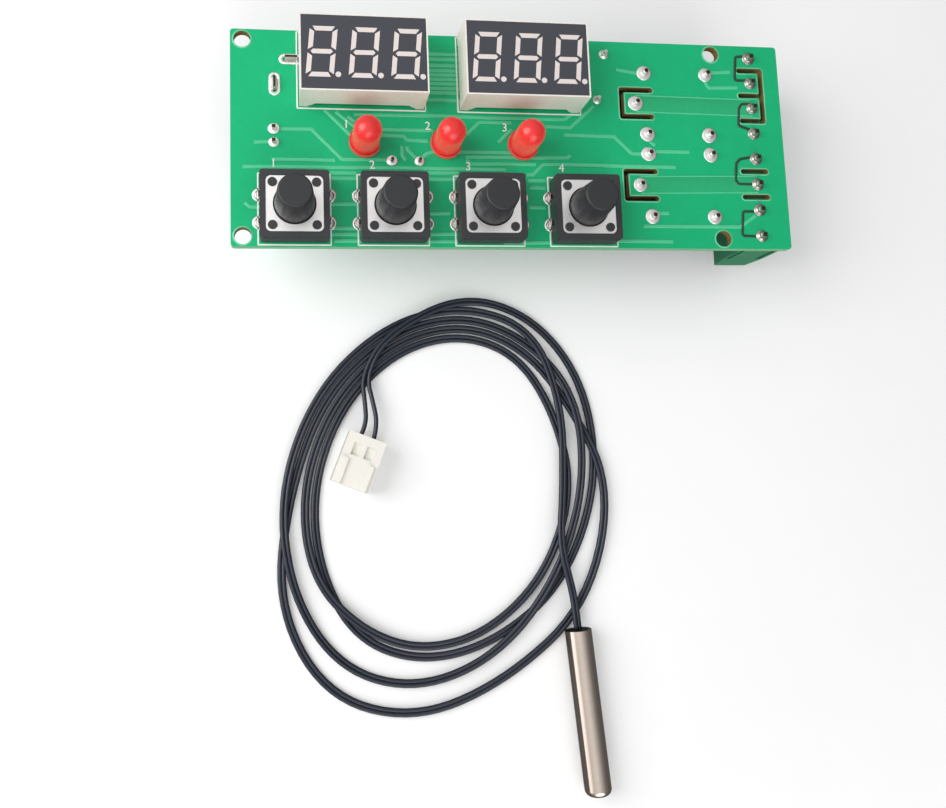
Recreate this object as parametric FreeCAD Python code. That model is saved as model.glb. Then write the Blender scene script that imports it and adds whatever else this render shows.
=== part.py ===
import FreeCAD
import Part
import math
import os

# An oven temperature and timer controller: a bare circuit board, display side up, that stands on the
# relays and the capacitor under it, with its unplugged thermistor probe lying coiled in front of it.
# Millimetres. The origin is on the surface that it stands on, under the middle of the board.
# X runs along the board, towards the screw terminals, Y away from the push switches, and Z up.

V = FreeCAD.Vector

# Circuit board
BOARD_LENGTH = 104.0
BOARD_WIDTH = 40.0
BOARD_THICKNESS = 1.6
BOARD_CORNER = 0.6
HOLE_DIAMETER = 3.0
HOLE_SPAN_X = 88.5
HOLE_SPAN_Y = 36.2
HOLE_EDGE = 2.1  # from the left edge to the first two mounting holes
ISOLATION_SLOT = 0.95  # width of the slots that part the mains tracks
LEAD_CLEARANCE = 0.15  # round a lead in its hole
LEAD_PAST = 1.4  # how far a lead stands out of the board's far face
SEAT_GAP = 0.05  # between two fixed pieces that go one into the other

# Relays, under the board
RELAY_LENGTH = 19.2
RELAY_WIDTH = 15.5
RELAY_HEIGHT = 15.5
RELAY_GAP = 0.36  # between the two cases
RELAY_FOOT = 0.5  # height of the feet that hold the base off the board
RELAY_FOOT_SIDE = 1.0
RELAY_WALL = 0.9
RELAY_BASE = 1.2
RELAY_CORNER = 0.8
RELAY_EDGE = 0.5
RELAY_TERMINAL_GAP = 2.5  # from the cases to the screw terminals
RELAY_COMMON = 2.3  # the common pin, from the near end
RELAY_COIL = 2.0  # the coil pins, from the common pin
RELAY_CONTACT = 14.2  # the contact pins, from the common pin
RELAY_ROW = 6.0  # the side pins, from the middle line
RELAY_PIN = 0.8
COMMON_SLOT_SIDE = 2.6  # the slot round a common pin, from the pin to each arm
COMMON_SLOT_BACK = 2.65  # from the pin to the slot's back run
COMMON_SLOT_ARM = 5.65  # length of the two arms

# Screw terminals, under the board: four blocks of two ways
TERMINAL_BLOCKS = 4
TERMINAL_PITCH = 5.0
TERMINAL_DEPTH = 7.9
TERMINAL_HEIGHT = 12.0
TERMINAL_EDGE = 1.7  # from the board's right edge to the wire side
TERMINAL_SHOULDER = 6.7  # how far down the sides are upright
TERMINAL_TAPER = 0.75  # how far each side leans in below the shoulder
TERMINAL_GAP = 0.1  # between two blocks
DOVETAIL = 0.65  # width at the neck of the two tongues on a block's end
DOVETAIL_FLARE = 0.1  # how much wider each side is at the tip
DOVETAIL_DEPTH = 0.4  # into the next block
DOVETAIL_CLEARANCE = 0.05
DOVETAIL_BACK = 0.9  # the tongues, from the back and from the wire side
DOVETAIL_WIRE = 0.95
TERMINAL_PIN_IN = 4.1  # the pins and screws, from the wire side
SHELF = 0.4
SCREW_DIAMETER = 2.6
SCREW_HEAD = 3.8
SCREW_CLEARANCE = 0.1
SCREW_SLOT = 0.6
SCREW_SLOT_DEPTH = 0.8
SCREW_SUNK = 0.2  # the head, below the block's face
CAGE_TOP = 1.6  # the clamp cage when open, from the board down
CAGE_HEIGHT = 5.8
CAGE_WIDTH = 3.8
CAGE_DEPTH = 3.6
CAGE_FLOOR = 0.6
CAGE_NUT = 1.0  # the cage's threaded wall
CAGE_SIDE = 0.5
CAGE_CLEARANCE = 0.15
CAGE_TRAVEL = 2.5
SHELF_GAP = 0.1  # from a lowered cage to the shelf that carries the screw head
CONTACT_TOP = 5.6  # the contact strip, from the board down
CONTACT_STRIP = 0.6
CONTACT_CLEARANCE = 0.1  # beside the strip in the cage, and above it to the screw
CONTACT_RETURN = 0.4  # the strip's way back to the pin, from the board down
WIRE_TOP = 2.4  # the wire entry, from the board down
WIRE_HEIGHT = 3.1
WIRE_WIDTH = 3.2
TERMINAL_PIN = 0.8
COMB_X = 2.1  # the comb slot's upright run, from the pins
COMB_ARM = 2.1  # its arms, past the pins on the other side
SHORT_SLOT_OUT = 1.8  # the two separate slots, past the pins each way
SHORT_SLOT_IN = 2.7

# Three-digit displays
DISPLAY_JACK_GAP = 0.25  # from the power jack's side tab to the left one
DISPLAY_RIGHT_X = 0.6  # middle of the right one
DISPLAY_Y = 12.75
DISPLAY_LENGTH = 22.5
DISPLAY_WIDTH = 14.0
DISPLAY_HEIGHT = 7.25
DISPLAY_FOOT = 0.45  # height of the corner feet
DISPLAY_FOOT_SIDE = 1.6
DISPLAY_RECESS = 0.5  # depth of the step along the foot of the long walls
DISPLAY_RECESS_HEIGHT = 1.4
DISPLAY_RECESS_SLOPE = 1.2  # how far its ends slope in
DISPLAY_RIM = 0.27  # the rim round the film
FILM = 0.3
DIGITS = 3
DIGIT_PITCH = 7.4
DIGIT_HEIGHT = 9.2
DIGIT_WIDTH = 4.9
DIGIT_SLANT = 5.0  # degrees
DIGIT_SHIFT = -0.5  # the middle digit, from the middle of the film
SEGMENT_WIDTH = 0.95
SEGMENT_GAP = 0.12  # from a segment's tip to the corner of the digit
DOT_DIAMETER = 1.0
DOT_STEP = 0.75  # from a digit's side to the middle of its dot
WINDOW_GAP = 0.03
DISPLAY_PINS = 6  # in a row
DISPLAY_PIN_PITCH = 2.54
DISPLAY_ROW = 5.08  # a row of pins, from the middle line
DISPLAY_PIN = 0.5

# Indicator lamps
LAMP_X = (-28.2, -13.4, 0.9)
LAMP_Y = -0.7
LAMP_DIAMETER = 5.0
LAMP_FLANGE = 5.8
LAMP_FLANGE_HEIGHT = 1.0
LAMP_HEIGHT = 8.6
LAMP_FLAT = 0.4  # depth of the flat on the flange
LAMP_PITCH = 2.54
LAMP_LEAD = 0.5

# Push switches
SWITCHES = 4
SWITCH_IN = 11.1  # from the left edge to the middle of the first one
SWITCH_RELAY_GAP = 9.1  # from the middle of the last one to the relays
SWITCH_Y = -13.25
SWITCH_SIDE = 12.0
SWITCH_BASE = 3.8
SWITCH_CORNER = 0.5
PLATE_SIDE = 9.9
PLATE_CORNER = 0.9
PLATE = 0.3
PLATE_SUNK = 0.2  # the cover plate's face, below the rim
POST_DIAMETER = 1.55
POST_SPAN = 7.6
POST_PROUD = 0.25
POST_GAP = 0.05
WELL_DIAMETER = 8.6
WELL_FLOOR = 0.9
COLLAR_DIAMETER = 8.0  # the plunger's collar, under the plate
COLLAR = 0.9
COLLAR_GAP = 0.1  # from the collar to the plate at rest
PLUNGER_FOOT = 7.1
PLUNGER_TOP = 5.9
PLUNGER_REACH = 11.1  # its top, above the board
PLUNGER_ROUND = 0.35
PLUNGER_GAP = 0.2  # round the plunger in the plate
PRESS_TRAVEL = 0.35
DOME_DIAMETER = 7.4
DOME = 0.15
DOME_GAP = 0.05  # from the dome to a pressed plunger
LEG_SPAN_Y = 5.0
LEG = 0.3
LEG_WIDTH = 1.0
LEG_UP = 1.2  # how far a leg reaches up the base

# Power jack, under the board at the left edge
JACK_Y = 9.8
JACK_LENGTH = 14.4
JACK_WIDTH = 9.0
JACK_FLANGE = 3.4  # length of the square front
JACK_AXIS = 6.5  # the socket's axis, from the board down
JACK_BORE = 6.4
JACK_BORE_DEPTH = 9.6
JACK_PIN = 2.0
JACK_PIN_IN = 1.0  # the centre pin's tip, inside the mouth
JACK_REAR_TAB = 0.4  # the rear tab, from the back of the body
JACK_TAB_STEP = 6.0  # from the rear tab to the front one
JACK_SIDE_TAB_X = 3.0  # from the rear tab to the side one
JACK_SIDE_TAB_Y = 4.7
JACK_TAB = 0.4
JACK_TAB_WIDTH = 2.2

# Probe header, under the board
HEADER_IN = 7.6  # from the left edge
HEADER_Y = 0.22
HEADER_PITCH = 2.5
HEADER_DEPTH = 5.75
HEADER_WIDTH = 7.45
HEADER_HEIGHT = 7.0
HEADER_WALL = 0.7
HEADER_FLOOR = 2.0
HEADER_PIN = 0.64
HEADER_PIN_IN = 1.0  # the pins' tips, inside the mouth
HEADER_KEY = 1.2  # width of the two key slots

# Capacitor and small parts, under the board
CAPACITOR_X = -20.9
CAPACITOR_Y = -4.1
CAPACITOR_DIAMETER = 10.0
CAPACITOR_GROOVE = 0.5
CAPACITOR_GROOVE_Z = 2.5  # from the board down
CAPACITOR_ROUND = 0.8
CAPACITOR_PITCH = 5.0
CAPACITOR_LEAD = 0.6
CHIP_IN = 8.5  # from the drivers to the middle of the microcontroller
CHIP_Y = -5.8
CHIP_LENGTH = 7.2
CHIP_WIDTH = 5.3
CHIP_HEIGHT = 1.9
CHIP_LEADS = 10  # on a side
CHIP_LEAD_PITCH = 0.65
CHIP_LEAD = 0.3
CHIP_SPAN = 7.8
CHIP_LEAD_RISE = 0.9
REGULATOR_IN = 8.9  # from the probe header
REGULATOR_Y = -6.0
REGULATOR_SIZE = (6.5, 3.5, 1.6)
RESISTORS = 8
RESISTOR_X = -14.0
RESISTOR_Y = 3.6
RESISTOR_PITCH = 2.6
RESISTOR_SIZE = (1.25, 2.0, 0.6)
DRIVER_GAP = 4.25  # from the relays
DRIVER_Y = 4.0  # one each side of the middle line
DRIVER_SIZE = (2.9, 1.3, 1.1)
DIODE_OFF = 0.125  # from the middle of the room between the right display and the relays
DIODE_Y = 12.9
DIODE_SPAN = 9.0
DIODE_LEAN = 1.8  # how far the upper lead stands to the right of the lower one
DIODE_DIAMETER = 2.0
DIODE_LENGTH = 4.0
DIODE_LEAD = 0.7

# Probe: sleeve, lead and plug
COIL_X = -13.5
COIL_Y = -63.0
COIL_TILT = 20.0  # degrees, the long axis leans towards +X
COIL_HALF_WIDTH = 22.6  # of the inmost turn
COIL_HALF_LENGTH = 29.5
COIL_WIDTH_STEP = 2.15  # how much the half width grows in a turn
COIL_LENGTH_STEP = 2.5
COIL_SIDE_STEP = 0.1  # how far the middle moves in a turn
COIL_DOWN_STEP = 0.4
COIL_TURNS = 4  # whole turns past the first stretch
COIL_START = 135.0  # degrees, where the lead from the plug joins the turns
LEAD_DIAMETER = 1.5
LEAD_LIFT = 0.05  # clear of the surface
SLEEVE_DIAMETER = 5.0
SLEEVE_LENGTH = 30.0
SLEEVE_WALL = 0.4
SLEEVE_END = 0.8  # thickness of the closed end
SLEEVE_NOSE = 1.2  # radius of the closed end's edge
SLEEVE_X = 25.0  # its mouth, from the middle of the coil
SLEEVE_Y = -27.0
SLEEVE_TURN = 4.6  # degrees
SEAL_LENGTH = 4.0
PLUG_X = -16.0  # its middle, from the middle of the coil
PLUG_Y = 5.5
PLUG_TURN = 22.0  # degrees
PLUG_WIDTH = 7.3
PLUG_DEPTH = 5.7
PLUG_LENGTH = 9.8
PLUG_PITCH = 2.5
PLUG_SOCKET = 1.2
PLUG_SOCKET_DEPTH = 6.0
PLUG_RIB = 0.5
PLUG_RIB_WIDTH = 1.0
PLUG_RIB_LENGTH = 4.9
PLUG_WINDOW = 1.6
PLUG_WINDOW_LENGTH = 2.4
PLUG_WINDOW_Y = 1.96  # from the middle
PLUG_WINDOW_DEPTH = 0.6

# Heights and edges that follow from the sizes above
UNDERSIDE = RELAY_HEIGHT + RELAY_FOOT
TOPSIDE = UNDERSIDE + BOARD_THICKNESS
LEFT_EDGE = -BOARD_LENGTH / 2
RIGHT_EDGE = BOARD_LENGTH / 2
RELAY_Y = (RELAY_WIDTH + RELAY_GAP) / 2
RELAY_SIDES = (1, -1)
TERMINAL_X = RIGHT_EDGE - TERMINAL_EDGE - TERMINAL_PIN_IN
SHELF_TOP = CAGE_TOP + CAGE_HEIGHT + CAGE_TRAVEL + SHELF_GAP  # from the board down
RELAY_END = RIGHT_EDGE - TERMINAL_EDGE - TERMINAL_DEPTH - RELAY_TERMINAL_GAP
RELAY_X = RELAY_END - RELAY_LENGTH  # the cases' near end
JACK_REAR = LEFT_EDGE + JACK_LENGTH - JACK_REAR_TAB - JACK_TAB / 2  # the rear tab
JACK_SIDE_TAB_END = JACK_REAR - JACK_SIDE_TAB_X + JACK_TAB_WIDTH / 2
DISPLAY_LEFT_X = JACK_SIDE_TAB_END + DISPLAY_JACK_GAP + DISPLAY_LENGTH / 2
DISPLAY_SIDE = DISPLAY_RIGHT_X + DISPLAY_LENGTH / 2  # the right display's far side
SWITCH_X = LEFT_EDGE + SWITCH_IN
SWITCH_PITCH = (RELAY_X - SWITCH_RELAY_GAP - SWITCH_X) / (SWITCHES - 1)
HEADER_X = LEFT_EDGE + HEADER_IN
REGULATOR_X = HEADER_X + REGULATOR_IN
DRIVER_X = RELAY_X - DRIVER_GAP - DRIVER_SIZE[0] / 2
CHIP_X = DRIVER_X - CHIP_IN
DIODE_X = (DISPLAY_SIDE + RELAY_X) / 2 + DIODE_OFF
SQUARE_DRILL = math.sqrt(2)  # a square lead's width across its corners, over its side


def box(x, y, z):
    """A box between the low and high values of x, y and z."""
    return Part.makeBox(x[1] - x[0], y[1] - y[0], z[1] - z[0], V(x[0], y[0], z[0]))


def block(x, y, length, width, low, high):
    """A box that is centred on x, y."""
    return box((x - length / 2, x + length / 2), (y - width / 2, y + width / 2), (low, high))


def post(x, y, diameter, low, high):
    return Part.makeCylinder(diameter / 2, high - low, V(x, y, low))


def upright_edges(shape):
    return [e for e in shape.Edges if abs(e.BoundBox.ZLength - shape.BoundBox.ZLength) < 1e-6]


def rounded_block(x, y, length, width, corner, low, high):
    """A box centred on x, y, with its upright edges rounded."""
    plain = block(x, y, length, width, low, high)
    return plain.makeFillet(corner, upright_edges(plain))


def slot(start, end, width, low, high):
    """An upright slot with round ends, from one x, y to another."""
    run = V(end[0] - start[0], end[1] - start[1], 0)
    side = V(-run.y, run.x, 0).normalize() * (width / 2)
    tip = V(run).normalize() * (width / 2)
    a = V(start[0], start[1], low)
    b = V(end[0], end[1], low)
    edges = [
        Part.LineSegment(a + side, b + side).toShape(),
        Part.Arc(b + side, b + tip, b - side).toShape(),
        Part.LineSegment(b - side, a - side).toShape(),
        Part.Arc(a - side, a - tip, a + side).toShape(),
    ]
    return Part.Face(Part.Wire(edges)).extrude(V(0, 0, high - low))


def prism(points, height):
    """An outline of straight sides, drawn upwards."""
    return Part.Face(Part.makePolygon(points + points[:1])).extrude(V(0, 0, height))


def turned(profile, x, y):
    """A solid of revolution about the upright axis at x, y, from radius and height points."""
    points = [V(x + radius, y, z) for radius, z in profile]
    face = Part.Face(Part.makePolygon(points + points[:1]))
    return face.revolve(V(x, y, 0), V(0, 0, 1), 360)


def grouped(solids):
    return Part.makeCompound(solids)


def joined(solids):
    return solids[0].fuse(solids[1:]).removeSplitter()


# Places of what goes through the board


def mounting_holes():
    xs = (LEFT_EDGE + HOLE_EDGE, LEFT_EDGE + HOLE_EDGE + HOLE_SPAN_X)
    return [(x, side * HOLE_SPAN_Y / 2) for x in xs for side in (1, -1)]


def relay_pin_places(side):
    x = RELAY_X + RELAY_COMMON
    y = side * RELAY_Y
    places = [(x, y)]
    for step in (RELAY_COIL, RELAY_CONTACT):
        places += [(x + step, y + RELAY_ROW), (x + step, y - RELAY_ROW)]
    return places


def terminal_ways():
    first = TERMINAL_PITCH * (2 * TERMINAL_BLOCKS - 1) / 2
    return [first - TERMINAL_PITCH * way for way in range(2 * TERMINAL_BLOCKS)]


def display_centres():
    return [DISPLAY_LEFT_X, DISPLAY_RIGHT_X]


def display_pin_places(x):
    half = (DISPLAY_PINS - 1) / 2
    steps = [(n - half) * DISPLAY_PIN_PITCH for n in range(DISPLAY_PINS)]
    return [(x + step, DISPLAY_Y + side * DISPLAY_ROW) for step in steps for side in (1, -1)]


def lamp_lead_places():
    return [(x + side * LAMP_PITCH / 2, LAMP_Y) for x in LAMP_X for side in (1, -1)]


def switch_centres():
    return [SWITCH_X + SWITCH_PITCH * n for n in range(SWITCHES)]


def leg_places(x):
    out = (SWITCH_SIDE + LEG) / 2
    return [(x + i * out, SWITCH_Y + j * LEG_SPAN_Y / 2) for i in (1, -1) for j in (1, -1)]


def header_pin_places():
    return [(HEADER_X, HEADER_Y + side * HEADER_PITCH / 2) for side in (1, -1)]


def capacitor_lead_places():
    return [(CAPACITOR_X + side * CAPACITOR_PITCH / 2, CAPACITOR_Y) for side in (1, -1)]


def diode_lead_places():
    lean, span = DIODE_LEAN / 2, DIODE_SPAN / 2
    return [(DIODE_X + side * lean, DIODE_Y + side * span) for side in (1, -1)]


def jack_tabs():
    """Each tab's place, whether it stands along the board, and how far it stands out of it."""
    rear = JACK_REAR
    return [
        (rear, JACK_Y, False, DISPLAY_FOOT - LEAD_CLEARANCE),
        (rear - JACK_TAB_STEP, JACK_Y, False, LEAD_PAST),
        (rear - JACK_SIDE_TAB_X, JACK_Y + JACK_SIDE_TAB_Y, True, LEAD_PAST),
    ]


# Circuit board


def lead_holes():
    square = [(DISPLAY_PIN, place) for x in display_centres() for place in display_pin_places(x)]
    square += [(LAMP_LEAD, place) for place in lamp_lead_places()]
    square += [(HEADER_PIN, place) for place in header_pin_places()]
    square += [(TERMINAL_PIN, (TERMINAL_X, y)) for y in terminal_ways()]
    leads = [(side * SQUARE_DRILL, place) for side, place in square]
    leads += [(RELAY_PIN, place) for side in RELAY_SIDES for place in relay_pin_places(side)]
    leads += [(math.hypot(LEG, LEG_WIDTH), place) for x in switch_centres() for place in leg_places(x)]
    leads += [(CAPACITOR_LEAD, place) for place in capacitor_lead_places()]
    leads += [(DIODE_LEAD, place) for place in diode_lead_places()]
    return [
        post(x, y, width + 2 * LEAD_CLEARANCE, UNDERSIDE, TOPSIDE) for width, (x, y) in leads
    ]


def jack_slots():
    slots = []
    for x, y, along, _ in jack_tabs():
        reach = (JACK_TAB_WIDTH - JACK_TAB) / 2
        dx, dy = (reach, 0) if along else (0, reach)
        width = JACK_TAB + 4 * LEAD_CLEARANCE
        slots.append(slot((x - dx, y - dy), (x + dx, y + dy), width, UNDERSIDE, TOPSIDE))
    return slots


def isolation_slots():
    runs = []
    for side in RELAY_SIDES:
        x, y = relay_pin_places(side)[0]
        back = x - COMMON_SLOT_BACK
        low, high = y - COMMON_SLOT_SIDE, y + COMMON_SLOT_SIDE
        runs.append(((back, low), (back, high)))
        runs += [((back, end), (back + COMMON_SLOT_ARM, end)) for end in (low, high)]
    ways = terminal_ways()
    between = [(a + b) / 2 for a, b in zip(ways, ways[1:])]
    comb = TERMINAL_X + COMB_X
    runs.append(((comb, between[0]), (comb, between[2])))
    runs += [((TERMINAL_X - COMB_ARM, y), (comb, y)) for y in between[:3]]
    short = (TERMINAL_X - SHORT_SLOT_IN, TERMINAL_X + SHORT_SLOT_OUT)
    runs += [((short[0], y), (short[1], y)) for y in between[4:6]]
    return [slot(a, b, ISOLATION_SLOT, UNDERSIDE, TOPSIDE) for a, b in runs]


def circuit_board():
    board = rounded_block(0, 0, BOARD_LENGTH, BOARD_WIDTH, BOARD_CORNER, UNDERSIDE, TOPSIDE)
    bolts = [post(x, y, HOLE_DIAMETER, UNDERSIDE, TOPSIDE) for x, y in mounting_holes()]
    return board.cut(bolts + lead_holes() + jack_slots() + isolation_slots())


# Displays


def digit_corner(column, row):
    """A corner of the digit, where segments meet: column -1 or 1, row -1, 0 or 1."""
    x = column * (DIGIT_WIDTH - SEGMENT_WIDTH) / 2
    y = row * (DIGIT_HEIGHT - SEGMENT_WIDTH) / 2
    return x, y


def segment_outline(start, end, grow):
    """A six-sided bar between two corners of a digit, grown all round."""
    run = V(end[0] - start[0], end[1] - start[1], 0)
    along = V(run).normalize()
    across = V(-along.y, along.x, 0)
    half = SEGMENT_WIDTH / 2 + grow
    tip = SEGMENT_GAP - grow * SQUARE_DRILL
    a = V(start[0], start[1], 0) + along * tip
    b = V(end[0], end[1], 0) - along * tip
    return [
        a,
        a + (along + across) * half,
        b + (across - along) * half,
        b,
        b - (along + across) * half,
        a + (along - across) * half,
    ]


def digit_solids(x, low, grow):
    """The bars and dot of one digit, as solids as thick as the film."""
    ends = [((-1, row), (1, row)) for row in (-1, 0, 1)]
    ends += [((column, row), (column, row + 1)) for column in (-1, 1) for row in (-1, 0)]
    lean = math.tan(math.radians(DIGIT_SLANT))
    solids = []
    for start, end in ends:
        flat = segment_outline(digit_corner(*start), digit_corner(*end), grow)
        outline = [V(x + p.x + lean * p.y, DISPLAY_Y + p.y, low) for p in flat]
        solids.append(prism(outline, FILM))
    dot_y = DISPLAY_Y - (DIGIT_HEIGHT - DOT_DIAMETER) / 2
    dot_x = x + DIGIT_WIDTH / 2 + DOT_STEP
    solids.append(post(dot_x, dot_y, DOT_DIAMETER + 2 * grow, low, low + FILM))
    return solids


def display_digits(x, grow):
    low = TOPSIDE + DISPLAY_HEIGHT - FILM
    middle = (DIGITS - 1) / 2
    solids = []
    for n in range(DIGITS):
        solids += digit_solids(x + DIGIT_SHIFT + (n - middle) * DIGIT_PITCH, low, grow)
    return solids


def film_block(x, gap):
    length = DISPLAY_LENGTH - 2 * (DISPLAY_RIM + gap)
    width = DISPLAY_WIDTH - 2 * (DISPLAY_RIM + gap)
    high = TOPSIDE + DISPLAY_HEIGHT
    return block(x, DISPLAY_Y, length, width, high - FILM, high)


def display_recess(x, side):
    """The step along the foot of a long wall, between the two ends of the housing."""
    wall = DISPLAY_Y + side * DISPLAY_WIDTH / 2
    foot = DISPLAY_LENGTH / 2 - DISPLAY_FOOT_SIDE
    head = foot - DISPLAY_RECESS_SLOPE
    step = TOPSIDE + DISPLAY_RECESS_HEIGHT
    corners = [(-foot, TOPSIDE), (foot, TOPSIDE), (head, step), (-head, step)]
    outline = [V(x + out, wall, z) for out, z in corners]
    face = Part.Face(Part.makePolygon(outline + outline[:1]))
    return face.extrude(V(0, -side * DISPLAY_RECESS, 0))


def display_housing(x):
    """A potted reflector block on four corner feet, with a shallow pocket for the film."""
    body = block(x, DISPLAY_Y, DISPLAY_LENGTH, DISPLAY_WIDTH, TOPSIDE, TOPSIDE + DISPLAY_HEIGHT)
    lifted = TOPSIDE + DISPLAY_FOOT
    clear_x = DISPLAY_LENGTH - 2 * DISPLAY_FOOT_SIDE
    clear_y = DISPLAY_WIDTH - 2 * DISPLAY_FOOT_SIDE
    arches = [
        block(x, DISPLAY_Y, clear_x, DISPLAY_WIDTH, TOPSIDE, lifted),
        block(x, DISPLAY_Y, DISPLAY_LENGTH, clear_y, TOPSIDE, lifted),
    ]
    recesses = [display_recess(x, side) for side in (1, -1)]
    return body.cut(arches + recesses + [film_block(x, 0)])


def display_face(x):
    return film_block(x, SEAT_GAP).cut(display_digits(x, WINDOW_GAP))


def display_segments(x):
    return grouped(display_digits(x, 0))


def display_pins():
    low, high = UNDERSIDE - LEAD_PAST, TOPSIDE + DISPLAY_FOOT
    places = [place for x in display_centres() for place in display_pin_places(x)]
    return grouped([block(x, y, DISPLAY_PIN, DISPLAY_PIN, low, high) for x, y in places])


# Indicator lamps


def indicator(x):
    """A round lens with a domed end and a flanged foot that has one flat."""
    radius = LAMP_DIAMETER / 2
    flange = post(x, LAMP_Y, LAMP_FLANGE, TOPSIDE, TOPSIDE + LAMP_FLANGE_HEIGHT)
    flat = x + LAMP_FLANGE / 2 - LAMP_FLAT
    across = (LAMP_Y - LAMP_FLANGE, LAMP_Y + LAMP_FLANGE)
    flange = flange.common(box((x - LAMP_FLANGE, flat), across, (TOPSIDE, TOPSIDE + LAMP_HEIGHT)))
    neck = TOPSIDE + LAMP_HEIGHT - radius
    body = post(x, LAMP_Y, LAMP_DIAMETER, TOPSIDE, neck)
    dome = Part.makeSphere(radius, V(x, LAMP_Y, neck), V(0, 0, 1), 0, 90, 360)
    return joined([flange, body, dome])


def indicator_leads():
    low = UNDERSIDE - LEAD_PAST
    return grouped([block(x, y, LAMP_LEAD, LAMP_LEAD, low, TOPSIDE) for x, y in lamp_lead_places()])


# Push switches


def plate_low():
    return TOPSIDE + SWITCH_BASE - PLATE_SUNK - PLATE


def rivet_places(x):
    half = POST_SPAN / 2
    return [(x + i * half, SWITCH_Y + j * half) for i in (1, -1) for j in (1, -1)]


def switch_base(x):
    """A moulded box with a pocket for the cover plate, a round well and four rivet posts."""
    rim = TOPSIDE + SWITCH_BASE
    floor = plate_low()
    body = rounded_block(x, SWITCH_Y, SWITCH_SIDE, SWITCH_SIDE, SWITCH_CORNER, TOPSIDE, rim)
    side = PLATE_SIDE + 2 * SEAT_GAP
    pocket = rounded_block(x, SWITCH_Y, side, side, PLATE_CORNER + SEAT_GAP, floor, rim)
    well = post(x, SWITCH_Y, WELL_DIAMETER, TOPSIDE + WELL_FLOOR, floor)
    posts = [post(a, b, POST_DIAMETER, floor, floor + PLATE + POST_PROUD) for a, b in rivet_places(x)]
    return joined([body.cut([pocket, well])] + posts)


def switch_cover_plates():
    plates = []
    for x in switch_centres():
        low = plate_low()
        plate = rounded_block(x, SWITCH_Y, PLATE_SIDE, PLATE_SIDE, PLATE_CORNER, low, low + PLATE)
        holes = [post(a, b, POST_DIAMETER + 2 * POST_GAP, low, low + PLATE) for a, b in rivet_places(x)]
        holes.append(post(x, SWITCH_Y, PLUNGER_FOOT + 2 * PLUNGER_GAP, low, low + PLATE))
        plates.append(plate.cut(holes))
    return grouped(plates)


def collar_high():
    return plate_low() - COLLAR_GAP


def switch_plunger(x):
    """A tapered push button on a collar that the cover plate keeps in."""
    high = collar_high()
    collar = post(x, SWITCH_Y, COLLAR_DIAMETER, high - COLLAR, high)
    reach = TOPSIDE + PLUNGER_REACH - high
    stem = Part.makeCone(PLUNGER_FOOT / 2, PLUNGER_TOP / 2, reach, V(x, SWITCH_Y, high))
    rim = [e for e in stem.Edges if e.BoundBox.ZMin > high + reach / 2]
    return joined([collar, stem.makeFillet(PLUNGER_ROUND, rim)])


def switch_dome(x):
    """A thin spherical cap, bowed up from the well's floor to just below the pressed plunger."""
    floor = TOPSIDE + WELL_FLOOR
    crown = collar_high() - COLLAR - PRESS_TRAVEL - DOME_GAP
    half = DOME_DIAMETER / 2
    rise = crown - DOME - floor
    radius = (half * half + rise * rise) / (2 * rise)
    bow = math.asin(half / radius) / 2
    knee = V(x + radius * math.sin(bow), SWITCH_Y, crown - radius * (1 - math.cos(bow)))
    down = V(0, 0, -DOME)
    peak = V(x, SWITCH_Y, crown)
    hem = V(x + half, SWITCH_Y, crown - rise)
    edges = [
        Part.Arc(peak, knee, hem).toShape(),
        Part.makeLine(hem, hem + down),
        Part.Arc(hem + down, knee + down, peak + down).toShape(),
        Part.makeLine(peak + down, peak),
    ]
    return Part.Face(Part.Wire(edges)).revolve(V(x, SWITCH_Y, 0), V(0, 0, 1), 360)


def switch_domes():
    return grouped([switch_dome(x) for x in switch_centres()])


def switch_legs():
    low, high = UNDERSIDE - LEAD_PAST, TOPSIDE + LEG_UP
    places = [place for x in switch_centres() for place in leg_places(x)]
    return grouped([block(x, y, LEG, LEG_WIDTH, low, high) for x, y in places])


# Relays


def relay_case(side):
    """A sealed case that opens towards the board, where its base closes it."""
    x = RELAY_X + RELAY_LENGTH / 2
    y = side * RELAY_Y
    case = rounded_block(x, y, RELAY_LENGTH, RELAY_WIDTH, RELAY_CORNER, 0, RELAY_HEIGHT)
    foot = [e for e in case.Edges if e.BoundBox.ZMax < RELAY_EDGE]
    case = case.makeFillet(RELAY_EDGE, foot)
    length, width = RELAY_LENGTH - 2 * RELAY_WALL, RELAY_WIDTH - 2 * RELAY_WALL
    return case.cut(block(x, y, length, width, RELAY_WALL, RELAY_HEIGHT))


def relay_bases():
    bases = []
    x = RELAY_X + RELAY_LENGTH / 2
    length, width = RELAY_LENGTH - 2 * RELAY_WALL, RELAY_WIDTH - 2 * RELAY_WALL
    for side in RELAY_SIDES:
        y = side * RELAY_Y
        solids = [block(x, y, length, width, RELAY_HEIGHT - RELAY_BASE, RELAY_HEIGHT)]
        out_x, out_y = (length - RELAY_FOOT_SIDE) / 2, (width - RELAY_FOOT_SIDE) / 2
        side_length = RELAY_FOOT_SIDE
        for foot_x in (x - out_x, x + out_x):
            for foot_y in (y - out_y, y + out_y):
                solids.append(block(foot_x, foot_y, side_length, side_length, RELAY_HEIGHT, UNDERSIDE))
        bases.append(joined(solids))
    return grouped(bases)


def relay_works():
    """The coil and contacts of each sealed relay, as one block."""
    x = RELAY_X + RELAY_LENGTH / 2
    length, width = RELAY_LENGTH - 2 * RELAY_WALL, RELAY_WIDTH - 2 * RELAY_WALL
    high = RELAY_HEIGHT - RELAY_BASE
    return grouped([block(x, side * RELAY_Y, length, width, RELAY_WALL, high) for side in RELAY_SIDES])


def relay_pins():
    places = [place for side in RELAY_SIDES for place in relay_pin_places(side)]
    return grouped([post(x, y, RELAY_PIN, RELAY_HEIGHT, TOPSIDE + LEAD_PAST) for x, y in places])


# Screw terminals


def below(depth):
    """The height of a point that far below the board's underside."""
    return UNDERSIDE - depth


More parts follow.
